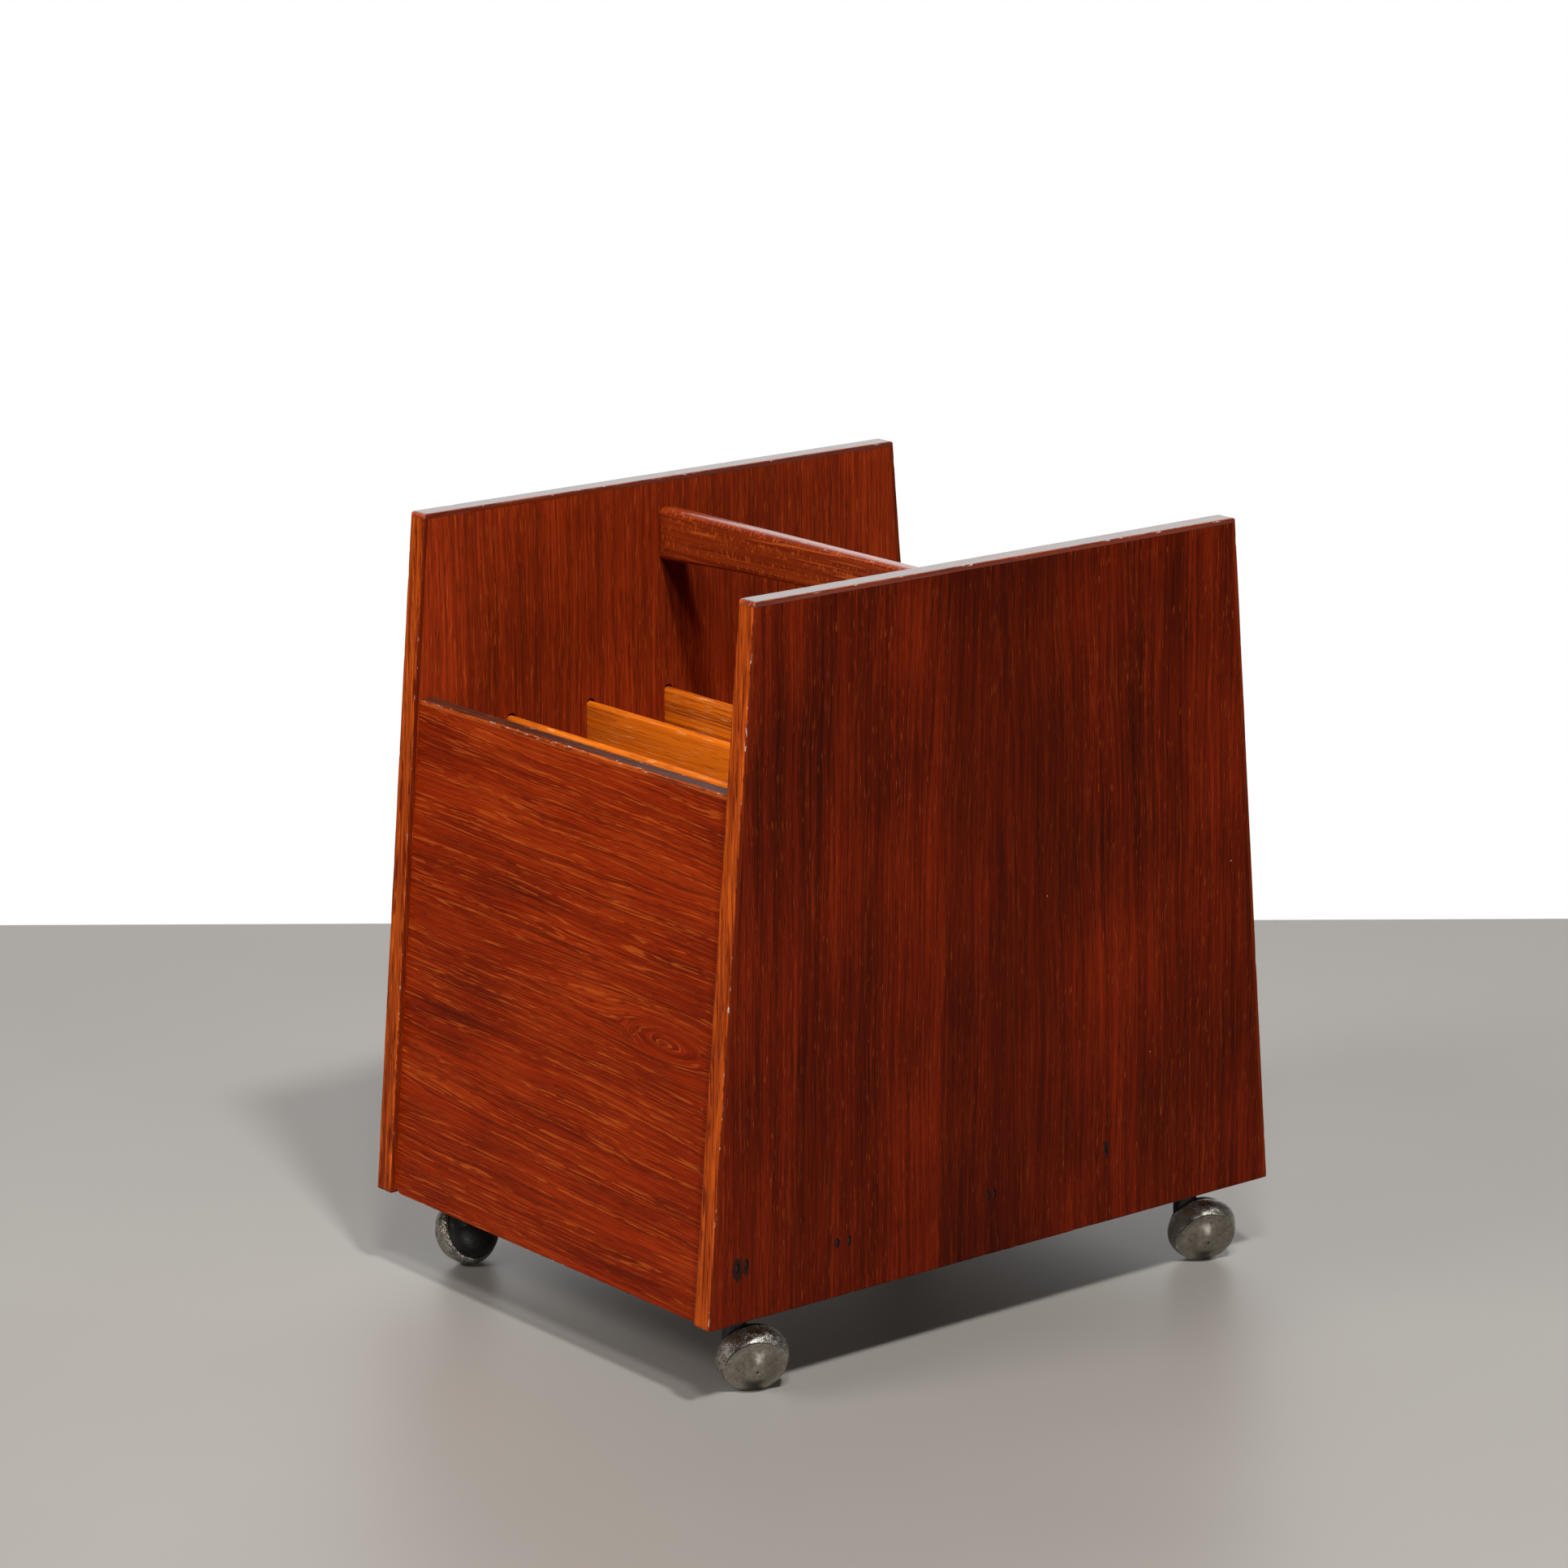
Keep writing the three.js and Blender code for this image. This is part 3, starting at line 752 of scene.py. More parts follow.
def cut(piece, cutters, operation="DIFFERENCE"):
    """Applies one exact boolean with the meshes joined into one."""
    joined = bmesh.new()
    for cutter in cutters:
        bmesh.ops.recalc_face_normals(cutter, faces=cutter.faces)
        data = mesh_data(cutter, "cutter")
        joined.from_mesh(data)
        bpy.data.meshes.remove(data)
    tool = add_object("cutters", mesh_data(joined, "cutters"))
    modifier = piece.modifiers.new("cut", "BOOLEAN")
    modifier.operation = operation
    modifier.solver = "EXACT"
    modifier.object = tool
    result = applied(piece)
    piece.modifiers.clear()
    old = piece.data
    result.name = old.name
    piece.data = result
    bpy.data.meshes.remove(old)
    bpy.data.objects.remove(tool)
    if not piece.data.polygons:
        raise RuntimeError(f"nothing is left of {piece.name} after the cut")


def bridge(mesh, near, far):
    """Joins two rings of corners with faces; either may be a single corner."""
    count = max(len(near), len(far))
    for i in range(count):
        j = (i + 1) % count
        corners = (near[i % len(near)], near[j % len(near)], far[j % len(far)], far[i % len(far)])
        mesh.faces.new(list(dict.fromkeys(corners)))


def extruded(outline, x0, x1):
    """A prism along X over an outline of (y, z) points."""
    mesh = bmesh.new()
    near = [mesh.verts.new((x0, y, z)) for y, z in outline]
    far = [mesh.verts.new((x1, y, z)) for y, z in outline]
    mesh.faces.new(near)
    mesh.faces.new(far[::-1])
    bridge(mesh, near, far)
    return mesh


def oval_outline(y, z, half_width, half_height, count=24):
    turns = [2 * math.pi * i / count for i in range(count)]
    return [(y + half_width * math.cos(t), z + half_height * math.sin(t)) for t in turns]


def lathe(profile, sides):
    """The closed solid that (radius, height) points make round Z; a first or last radius of 0 closes it."""
    mesh = bmesh.new()
    rings = []
    for radius, height in profile:
        if radius < 1e-9:
            rings.append([mesh.verts.new((0, 0, height))])
            continue
        turns = [2 * math.pi * i / sides for i in range(sides)]
        rings.append([mesh.verts.new((radius * math.cos(t), radius * math.sin(t), height)) for t in turns])
    pairs = list(zip(rings, rings[1:]))
    if len(rings[0]) > 1:
        pairs.append((rings[-1], rings[0]))
    for lower, upper in pairs:
        bridge(mesh, lower, upper)
    return mesh


def plug(radius, low, high, sides):
    """An upright cylinder."""
    return lathe([(0, low), (radius, low), (radius, high), (0, high)], sides)


def filleted(points, radius, segments=4):
    """A closed or open profile whose corners are replaced by short curves."""
    result = []
    closed = points[0][0] > 1e-9
    last = len(points) - 1
    for i, point in enumerate(points):
        if not closed and i in (0, last):
            result.append(point)
            continue
        here = Vector(point)
        before = Vector(points[i - 1]) - here
        after = Vector(points[(i + 1) % len(points)]) - here
        reach = min(radius, before.length * 0.45, after.length * 0.45)
        start = here + before.normalized() * reach
        end = here + after.normalized() * reach
        for step in range(segments + 1):
            t = step / segments
            result.append(tuple(start * (1 - t) ** 2 + here * 2 * t * (1 - t) + end * t * t))
    return result


# ---- side panels ----
LEAN_TANGENT = (CAP_LOW.y - LIPPING_LOW.y) / (CAP_HIGH.z - LIPPING_LOW.z)


def front_edge(z):
    """Where the leaning front edge of a side panel is at a height, less than nothing at the front."""
    return LIPPING_LOW.y + LEAN_TANGENT * (z - SIDE_LOW)


def leaning_outline(end, near, far, low, high):
    """Four (y, z) corners that lean with the side panels' edge, from near to far behind it."""
    corners = ((near, low), (far, low), (far, high), (near, high))
    return [(-end * (front_edge(z) + inset), z) for inset, z in corners]


def side_board(side, sizes):
    lean_front = (0, -1, LEAN_TANGENT)
    lean_back = (0, 1, LEAN_TANGENT)
    reach = (-LIPPING_LOW.y + LEAN_TANGENT * SIDE_LOW) / math.hypot(1, LEAN_TANGENT)
    # the planes are 0 outer, 1 inner, 2 front, 3 back, 4 top and 5 bottom
    planes = [
        ((side, 0, 0), OUTER_X),
        ((-side, 0, 0), -INNER_X),
        (lean_front, reach),
        (lean_back, reach),
        ((0, 0, 1), SIDE_HIGH),
        ((0, 0, -1), -SIDE_LOW),
    ]
    edges = [(2, 4, sizes.corner), (3, 4, sizes.corner), (2, 5, sizes.corner), (3, 5, sizes.corner)]
    edges += [(face, around, sizes.arris) for face in (0, 1) for around in (2, 3, 4, 5)]
    return Board(planes, edges, sizes.worn)


# The dark mark round each nail, in millimetres: its shift along Y and up, half its width, half its height.
NAIL_MARKS = {
    "right": [
        (0.1, -0.7, 3.6, 7.6),
        (0, -1.2, 2.1, 6.0),
        (0, 0, 2.2, 2.9),
        (0, 0, 1.5, 3.4),
        (0, 0, 1.2, 4.2),
        (0, 0, 1.2, 3.4),
        (0, 3.4, 1.9, 5.6),
    ],
    "left": [(0, 0, 1.9, 4.2)] * 4,
}

# The heart is its middle along Y and half its width, in millimetres.
SIDE_VENEERS = {
    "right": {
        "figure": cathedral_figure(centre=-4.0, tip=16.0, slope=0.035, wander=14.0, seed=3.0),
        "lift": (1.0, 1.0, 1.0),
        "changes": {},
        "heart": (2.0, 48.0),
    },
    "left": {
        "figure": straight_figure(wander=14.0, seed=8.0),
        # painted light: the left veneer's tones are lifted about threefold, standing in for the brighter
        # light on the left panel's inner face
        "lift": (2.4, 3.1, 3.7),
        "changes": dict(broad=0.22, blotch=0.2, pore=1.7, dash=0.09, pale=0.69, fleck_strength=0.3),
        "heart": None,
    },
}


def nail_names(side):
    return sorted(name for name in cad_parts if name.startswith(f"{side}_nail_"))


def nail_centre(name):
    low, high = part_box(name)
    return (low + high) / 2


class RACK_OT_side_panels(bpy.types.Operator):
    """Builds both side panels with their edging, grooves and nail holes"""

    bl_idname = "rack.side_panels"
    bl_label = "Side Panels"

    def execute(self, context):
        sizes = context.scene.rack_sizes
        colours = context.scene.rack_colours
        half_seam = sizes.seam / 2
        seam_high = SIDE_HIGH - sizes.lipping
        up = edging_finish("edge_teak_up", colours, 11.0, "up")
        top = edging_finish("edge_teak_top", colours, 13.0, "back")
        xs = steps(INNER_X, OUTER_X, 4 * MM, ROUNDING_LINES)
        for side_name, side in zip(SIDES, (1, -1)):
            node = f"{side_name}_side_panel"
            board = side_board(side, sizes)
            marks = self.nail_marks(side_name)
            veneer_name = f"side_veneer_{side_name}"
            veneer = side_veneer_finish(veneer_name, colours, 3.0 * side, marks, **SIDE_VENEERS[side_name])

            def core_place(x, u, z):
                near = front_edge(z) + sizes.lipping + half_seam
                return board.eased((side * x, near - 2 * near * u, z))

            us = [i / 150 for i in range(151)]
            zs = steps(SIDE_LOW, seam_high - half_seam, 60 * MM, ROUNDING_LINES)
            core = block(xs, us, zs, core_place)
            cutters = self.cutters(side_name, side, sizes)
            board.piece(core, f"{node}_veneered", veneer, "side_veneer", node, 30, cutters)

            for end, word in ENDS:

                def strip_place(x, u, z):
                    return board.eased((side * x, -end * (front_edge(z) + u), z))

                us = steps(0, sizes.lipping - half_seam, 1 * MM, ROUNDING_LINES[:5])
                zs = steps(SIDE_LOW, seam_high - half_seam, 2.5 * MM, ROUNDING_LINES)
                strip = block(xs, us, zs, strip_place)
                board.piece(strip, f"{node}_{word}_edging", up, "edge_lipping", f"{node}_{word}_lipping")

            def cap_place(x, u, z):
                near = front_edge(z)
                return board.eased((side * x, near - 2 * near * u, z))

            depth = -2 * front_edge(SIDE_HIGH)
            us = [d / depth for d in steps(0, depth, 2.5 * MM, ROUNDING_LINES)]
            zs = steps(seam_high + half_seam, SIDE_HIGH, 1 * MM, ROUNDING_LINES[:5])
            cap = block(xs, us, zs, cap_place)
            board.piece(cap, f"{node}_top_edging", top, "edge_lipping", f"{node}_top_lipping")
        return {"FINISHED"}

    def nail_marks(self, side_name):
        """Each mark's middle and half sizes, in millimetres."""
        marks = []
        for name, (shift_y, shift_z, *half_sizes) in zip(nail_names(side_name), NAIL_MARKS[side_name]):
            centre = nail_centre(name) / MM
            marks.append((centre.y + shift_y, centre.z + shift_z, *half_sizes))
        return marks

    def cutters(self, side_name, side, sizes):
        """The grooves, the slots for the end panels' tongues, and the nail holes of one side panel."""
        made = []
        beyond = 40 * MM  # well outside the board
        above_divider = 1.8 * MM
        above_bottom = 0.3 * MM
        slack = 0.15 * MM
        shoulder = 7 * MM  # from the end panels' top down to the slots'
        nail_hole_depth = 3 * MM
        grow = 0.12 * MM  # nail holes round the nails
        inner = side * INNER_X
        groove_floor = side * (INNER_X + sizes.groove_depth)
        half = sizes.groove / 2
        groove_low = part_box("bottom_board")[1].z + above_bottom
        groove_top = DIVIDER_HIGH.z + above_divider
        arc = [math.pi * i / 16 for i in range(17)]
        for number in range(1, DIVIDERS + 1):
            low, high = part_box(f"divider_{number}")
            y = (low.y + high.y) / 2
            outline = [(y - half, groove_low), (y + half, groove_low)]
            outline += [(y + half * math.cos(t), groove_top - half + half * math.sin(t)) for t in arc]
            made.append(extruded(outline, inner - side * beyond, groove_floor))
        slot_near = sizes.setback + (sizes.end_thickness - sizes.tongue) / 2 - slack
        slot_far = slot_near + sizes.tongue + 2 * slack
        slot_high = FRONT_PANEL_HIGH.z - shoulder
        slot_floor = side * (INNER_X + sizes.tongue_depth)
        for end, _ in ENDS:
            outline = leaning_outline(end, slot_near, slot_far, SIDE_LOW - beyond, slot_high)
            made.append(extruded(outline, inner - side * beyond, slot_floor))
        for name in nail_names(side_name):
            centre = nail_centre(name)
            half_sizes = (sizes.nail_width / 2 + grow, sizes.nail_height / 2 + grow)
            outline = oval_outline(centre.y, centre.z, *half_sizes)
            made.append(extruded(outline, side * (OUTER_X - nail_hole_depth), side * (OUTER_X + beyond)))
        return made


# ---- front and back panels ----
class RACK_OT_end_panels(bpy.types.Operator):
    """Builds the front and back panels with their tongues and top edging"""

    bl_idname = "rack.end_panels"
    bl_label = "Front and Back Panels"

    def execute(self, context):
        sizes = context.scene.rack_sizes
        colours = context.scene.rack_colours
        edging = edging_finish("edge_teak_across", colours, 17.0, "across")
        knot = knot_figure(centre=(103.0, 207.0), radius=9.0, stretch=4.4, tilt=0.035, seed=5.0)
        veneers = {
            "front": front_veneer_finish("front_veneer_front", colours, 5.0, knot),
            "back": front_veneer_finish("front_veneer_back", colours, 9.0, straight_figure(24.0, 9.0)),
        }
        half_length = FRONT_CAP_HIGH.x
        low = FRONT_PANEL_LOW.z
        seam_high = FRONT_CAP_LOW.z - 0.15 * MM
        high = FRONT_CAP_HIGH.z
        half_seam = sizes.seam / 2
        near = sizes.setback
        far = sizes.setback + sizes.end_thickness
        slope = math.hypot(1, LEAN_TANGENT)
        reach = -LIPPING_LOW.y + LEAN_TANGENT * SIDE_LOW
        edges = [(0, 2, 1.3 * MM), (1, 2, 1.3 * MM), (0, 3, 0.7 * MM), (1, 3, 0.5 * MM)]
        xs = steps(-half_length, half_length, 1.6 * MM)
        us = steps(near, far, 3 * MM, ROUNDING_LINES[:6])
        for end, word in ENDS:
            node = f"{word}_panel"
            # the planes are 0 outer, 1 inner, 2 top and 3 bottom
            planes = [
                ((0, end, LEAN_TANGENT), (reach - near) / slope),
                ((0, -end, -LEAN_TANGENT), -(reach - far) / slope),
                ((0, 0, 1), high),
                ((0, 0, -1), -low),
            ]
            board = Board(planes, edges, sizes.worn)

            def place(x, u, z):
                lift = self.knocked(x, half_length) if end < 0 else 0.0
                raised = z + lift * max(0.0, 1 - (z - low) / (14 * MM))
                return board.eased((x, -end * (front_edge(raised) + u), raised))

            tongue_near = near + (sizes.end_thickness - sizes.tongue) / 2
            tongue_far = tongue_near + sizes.tongue
            tongue_low = low + 0.5 * MM
            tongue_high = seam_high - 8 * MM
            outline = leaning_outline(end, tongue_near, tongue_far, tongue_low, tongue_high)
            tongue = extruded(outline, -FRONT_PANEL_HIGH.x, FRONT_PANEL_HIGH.x)
            zs = steps(low, seam_high - half_seam, 60 * MM, ROUNDING_LINES)
            slab = block(xs, us, zs, place)
            name = f"{node}_veneered"
            board.piece(slab, name, veneers[word], "front_veneer", node, 30, [tongue], join=True)

            zs = steps(seam_high + half_seam, high, 1 * MM, ROUNDING_LINES[:5])
            cap = block(xs, us, zs, place)
            name = f"{node}_top_edging"
            board.piece(cap, name, edging, "edge_lipping", f"{node}_top_lipping", 30, reach=2.0)
        return {"FINISHED"}

    def knocked(self, x, half_length):
        """How far the bottom edge is broken away: small chips all along it, and a notch at the left end."""
        chip = max(0.0, noise.noise(Vector((x * 210, 2.0, 5.0))) - 0.12)
        ragged = noise.noise(Vector((x * 700, 8.0, 1.0))) * 0.25
        from_end = x + half_length
        notch = max(0.0, 1 - from_end / (5 * MM)) ** 0.5 if from_end < 5 * MM else 0.0
        return (1.6 * chip + max(0.0, ragged) + 2.6 * notch) * MM


# ---- dividers ----
class RACK_OT_dividers(bpy.types.Operator):
    """Builds the five dividers, rounded along the top"""

    bl_idname = "rack.dividers"
    bl_label = "Dividers"

    def execute(self, context):
        sizes = context.scene.rack_sizes
        colours = context.scene.rack_colours
        contrasts = (0.5, 0.25, 1.0, 0.5, 0.7)  # how strong each divider's grain is
        for number, contrast in zip(range(1, DIVIDERS + 1), contrasts):
            node = f"divider_{number}"
            low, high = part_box(node)
            # the planes are 0 front, 1 back, 2 top, 3 and 4 the ends
            planes = [
                ((0, -1, 0), -low.y),
                ((0, 1, 0), high.y),
                ((0, 0, 1), high.z),
                ((1, 0, 0), high.x),
                ((-1, 0, 0), -low.x),
            ]
            board = Board(planes, [(0, 2, sizes.divider_round), (1, 2, sizes.divider_round)], 0.2 * MM)
            xs = steps(low.x, high.x, 3 * MM)
            us = steps(low.y, high.y, 1 * MM, ROUNDING_LINES[:6])
            zs = steps(low.z, high.z, 40 * MM, ROUNDING_LINES)
            finish = divider_finish(f"divider_wood_{number}", colours, 20.0 + number * 3.7, contrast)
            mesh = block(xs, us, zs, lambda x, y, z: board.eased((x, y, z)))
            board.piece(mesh, f"{node}_board", finish, "divider_wood", node)
        return {"FINISHED"}


# ---- handle ----
class RACK_OT_handle(bpy.types.Operator):
    """Builds the carrying handle, arched underneath and rounded all along"""

    bl_idname = "rack.handle"
    bl_label = "Handle"

    def execute(self, context):
        sizes = context.scene.rack_sizes
        half_length = HANDLE_HIGH.x
        half_thickness = HANDLE_HIGH.y
        top = HANDLE_HIGH.z
        mesh = bmesh.new()
        rings = []
        stations = steps(-half_length, half_length, 3 * MM, [0.3 * MM, 0.8 * MM])
        for x in stations:
            share = x / half_length
            underside = HANDLE_LOW.z + sizes.handle_arch * (1 - share * share)
            drawn = 1 - min(1.0, (half_length - abs(x)) / (0.8 * MM))
            shrink = 0.35 * MM * drawn * drawn
            ring = []
            bounds = (half_thickness - shrink, underside + shrink, top - shrink)
            for y, z in self.section(*bounds, sizes.handle_round):
                waver = 0.12 * MM * noise.noise(Vector((x * 20, y * 60, z * 60)))
                ring.append(mesh.verts.new((x, y + waver, z + waver * 0.6)))
            rings.append(ring)
        for near, far in zip(rings, rings[1:]):
            bridge(mesh, near, far)
        mesh.faces.new(rings[0])
        mesh.faces.new(rings[-1][::-1])
        material = handle_finish("handle_teak", context.scene.rack_colours)
        piece = finish_mesh(mesh, "handle_bar", material, "rack", "handle")
        layer = piece.data.attributes.new("wear", "FLOAT", "POINT")
        for vertex in piece.data.vertices:
            from_top = (top - vertex.co.z) / (3 * MM)
            layer.data[vertex.index].value = max(0.0, 1 - from_top)
        return {"FINISHED"}

    def section(self, half_width, low, high, radius):
        """A rounded oblong of (y, z) points, with the same number of points at any height."""
        points = []
        corners = [
            (half_width - radius, high - radius, 0),
            (-half_width + radius, high - radius, 90),
            (-half_width + radius, low + radius, 180),
            (half_width - radius, low + radius, 270),
        ]
        for y, z, start in corners:
            for step in range(10):
                turn = math.radians(start + 10 * step)
                points.append((y + radius * math.cos(turn), z + radius * math.sin(turn)))
        return points


# ---- bottom, battens and dowels, whose CAD shapes stay ----
class RACK_OT_hidden_woodwork(bpy.types.Operator):
    """Finishes the bottom board, the caster battens and the handle's dowels"""

    bl_idname = "rack.hidden_woodwork"
    bl_label = "Bottom, Battens and Dowels"

    def execute(self, context):
        bare = plain_wood_finish("plain_wood", context.scene.rack_colours)
        names = ["bottom_board", "front_caster_batten", "back_caster_batten"]
        names += sorted(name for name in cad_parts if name.startswith("handle_dowel_"))
        for name in names:
            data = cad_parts[name].data
            data.materials.clear()
            data.materials.append(bare)
        return {"FINISHED"}


# ---- nails ----
class RACK_OT_nails(bpy.types.Operator):
    """Builds the oval nails, with slightly crowned heads sunk in the veneer"""

    bl_idname = "rack.nails"
    bl_label = "Nails"

    def execute(self, context):
        sizes = context.scene.rack_sizes
        iron = nail_finish("nail_iron", context.scene.rack_colours)
        for side_name, side in zip(SIDES, (1, -1)):
            for name in nail_names(side_name):
                low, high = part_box(name)
                centre = (low + high) / 2
                half_length = (high.x - low.x) / 2
                length = 2 * half_length / MM
                # millimetres from the head, and share of the head's width
                stations = [(0, 0.0), (0.02, 0.45), (0.1, 0.8), (0.3, 0.97), (1.2, 1.0), (3.5, 0.8)]
                stations += [(length - 6, 0.75), (length, 0.0)]
                mesh = bmesh.new()
                rings = []
                for from_head, share in stations:
                    x = centre.x + side * (half_length - from_head * MM)
                    outline = [(centre.y, centre.z)]
                    if share > 0:
                        half_sizes = (sizes.nail_width / 2 * share, sizes.nail_height / 2 * share)
                        outline = oval_outline(centre.y, centre.z, *half_sizes)
                    rings.append([mesh.verts.new((x, y, z)) for y, z in outline])
                for near, far in zip(rings, rings[1:]):
                    bridge(mesh, near, far)
                finish_mesh(mesh, f"{name}_oval", iron, "rack", name)
        return {"FINISHED"}


# ---- casters ----
# Each caster's heading in degrees from +X, and the hand that its wheel trails on.
CASTERS = {
    "front_right": (-25, 1),
    "back_right": (-23, 1),
    "front_left": (188, -1),
    "back_left": (197, -1),
}
REACH = 12 * MM  # from the stem to the dome rim's centre, the way that the axle points
TRAIL = 9.7 * MM  # and across it
CROWN_RADIUS = 20.5 * MM  # the tread's middle, which rolls on the floor
CROWN_BEHIND = 4.2 * MM  # behind the dome's rim


def wheel_matrix(hand, tilt):
    """The wheel's own frame in its caster: Z along the axle to the dome, and the rim's centre at 0."""
    axle = Vector((math.cos(tilt), 0, -math.sin(tilt)))
    down = Vector((-math.sin(tilt), 0, -math.cos(tilt)))
    across = axle.cross(down)
    height = CROWN_RADIUS * math.cos(tilt) - CROWN_BEHIND * math.sin(tilt)
    turned = Matrix((down, across, axle)).transposed().to_4x4()
    return Matrix.Translation((REACH, hand * TRAIL, height)) @ turned


class RACK_OT_casters(bpy.types.Operator):
    """Builds the four hooded ball casters: socket, stem, hood, axle, wheel and dome"""

    bl_idname = "rack.casters"
    bl_label = "Casters"

    def execute(self, context):
        sizes = context.scene.rack_sizes
        colours = context.scene.rack_colours
        tread = tread_finish("pitted_chrome", colours)
        dome = dome_finish("dull_steel", colours)
        hood = hood_finish("hood_black", colours)
        steel = bright_steel_finish("bright_steel", colours)
        hoods = {}
        for caster, (heading, hand) in CASTERS.items():
            low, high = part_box(f"{caster}_caster_stem")
            stem_centre = (low + high) / 2
            stand = Matrix.Translation((stem_centre.x, stem_centre.y, 0))
            stand = stand @ Matrix.Rotation(math.radians(heading), 4, "Z")
            wheel = wheel_matrix(hand, sizes.wheel_tilt)
            on_wheel = stand @ wheel
            socket_low, socket_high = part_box(f"{caster}_caster_socket")
            socket = self.socket_profile(socket_low.z, socket_high.z)
            stem = self.stem_profile(low.z, high.z)
            swivel = f"{caster}_swivel"
            roller = f"{caster}_roller"
            # profile, sides, piece, finish, body, material slot, CAD node, place
            turned = (
                (self.tread_profile(sizes), 96, "tread", tread, roller, "pitted_chrome", "wheel", on_wheel),
                (self.dome_profile(sizes), 96, "dome", dome, roller, "dull_steel", "wheel_dome", on_wheel),
                (self.axle_profile(), 32, "axle_pin", steel, swivel, "bright_steel", "axle", on_wheel),
                (stem, 32, "stem_pin", steel, swivel, "bright_steel", "caster_stem", stand),
                (socket, 40, "socket_sleeve", steel, "rack", "bright_steel", "caster_socket", stand),
            )
            for profile, sides, word, finish, body, slot, node, place in turned:
                name = f"{caster}_{word}"
                mesh = lathe(profile, sides)
                finish_mesh(mesh, name, finish, body, f"{caster}_{node}", matrix=place)
            if hand not in hoods:
                hoods[hand] = self.hood_mesh(wheel, low.z, hood)
            casing = add_object(f"{caster}_hood", hoods[hand].copy())
            casing.matrix_world = stand
            declare(casing, swivel, f"{caster}_caster_hood")
        for data in hoods.values():
            bpy.data.meshes.remove(data)
        return {"FINISHED"}

    def tread_profile(self, sizes):
        """A thick ring, hollow from the back, whose crown slopes down to the dome's rim."""
        back = -13
        hub = 2.8
        points = [
            (hub, back + 0.5),
            (6.5, back + 0.5),
            (6.5, -8.8),
            (17.4, -8.8),
            (17.8, back),
            (19.6, back),
            (21.0, -11.9),
            (21.5, -10.2),
            (21.7, -8.2),
            (21.45, -6.4),
            (20.6, -4.0),
            (19.5, -1.6),
            (18.7, 0.0),
            (16.6, 0.0),
            (16.6, -4.6),
            (5.5, -4.6),
            (5.5, -2.6),
            (hub, -2.6),
        ]
        scale = sizes.tread / max(radius for radius, _ in points)
        return filleted([(radius * scale, height * MM) for radius, height in points], 0.5 * MM)

    def dome_profile(self, sizes):
        """A thin cap with a rolled rim and a small dimple at its centre."""
        low = 0.3 * MM
        wall = 0.9 * MM
        outer = []
        inner = []
        rings = 26
        for i in range(rings + 1):
            t = i / rings
            fall = max(0.0, min(1.0, (t - 0.15) / 0.72))
            rise = 1 - fall * fall * (3 - 2 * fall)
            dimple = 0.35 * MM * math.exp(-((t * sizes.dome / (1.1 * MM)) ** 2))
            height = low + 0.6 * MM + (sizes.dome_height - 0.9 * MM) * rise - dimple
            outer.append((t * sizes.dome, height))
            inner.append((t * (sizes.dome - wall), low + (sizes.dome_height - wall - low) * rise - dimple))
        return inner + [(sizes.dome - 0.2 * MM, low + 0.05 * MM)] + outer[::-1]

    def axle_profile(self):
        points = [(0, -19.9), (2.5, -19.9), (2.5, -1.8), (2.0, -1.3), (0, -1.2)]
        return filleted([(r * MM, h * MM) for r, h in points], 0.3 * MM)

    def stem_profile(self, low, high):
        groove = high - 4.5 * MM
        radius = 4 * MM
        points = [
            (0, low),
            (radius, low),
            (radius, groove - 1.5 * MM),
            (radius - 0.9 * MM, groove),
            (radius, groove + 1.5 * MM),
            (radius, high - 1.2 * MM),
            (radius - 1.2 * MM, high),
            (0, high),
        ]
        return filleted(points, 0.4 * MM)

    def socket_profile(self, low, high):
        flange_top = low + 1.2 * MM
        points = [(4.3, low), (8.6, low), (9, flange_top), (5.4, flange_top), (5.4, high), (4.3, high)]
        return filleted([(r * MM, h) for r, h in points], 0.35 * MM)

    def hood_mesh(self, wheel, stem_low, material):
        """A shallow cup behind the wheel that grows into an upright neck, cut clear of the wheel."""
        radius = 19.2 * MM
        depth = 11 * MM
        base = -13.3 * MM  # the cup's open end, just behind the wheel
        clear_radius = 22.1 * MM
        clear_high = 9 * MM
        neck_radius = 7.2 * MM
        neck_top = 57.2 * MM
        stem_bore = 4.3 * MM
        axle_bore = 2.8 * MM
        axle_end = -20.3 * MM
        arcs = 18
        shell = [(0, base - depth)]
        for i in range(1, arcs + 1):
            turn = math.pi / 2 * i / arcs
            shell.append((radius * math.sin(turn), base - depth * math.cos(turn)))
        shell += [(radius, base), (0, base)]
        cup = lathe(shell, 64)
        cup.transform(wheel)
        neck = plug(neck_radius, wheel.translation.z, neck_top, 48)
        body = finish_mesh(cup, "hood_making", material)
        cut(body, [neck], "UNION")
        clear = plug(clear_radius, base, clear_high, 96)
        clear.transform(wheel)
        stem_hole = plug(stem_bore, stem_low - 0.3 * MM, 90 * MM, 32)
        axle_hole = plug(axle_bore, axle_end, 10 * MM, 24)
        axle_hole.transform(wheel)
        for cutter in (clear, stem_hole, axle_hole):
            cut(body, [cutter])
        bevel = body.modifiers.new("soften", "BEVEL")
        bevel.width = 0.6 * MM
        bevel.segments = 3
        bevel.limit_method = "ANGLE"
        bevel.angle_limit = math.radians(40)
        data = applied(body)
        shade(data, 40)
        bpy.data.objects.remove(body)
        return data


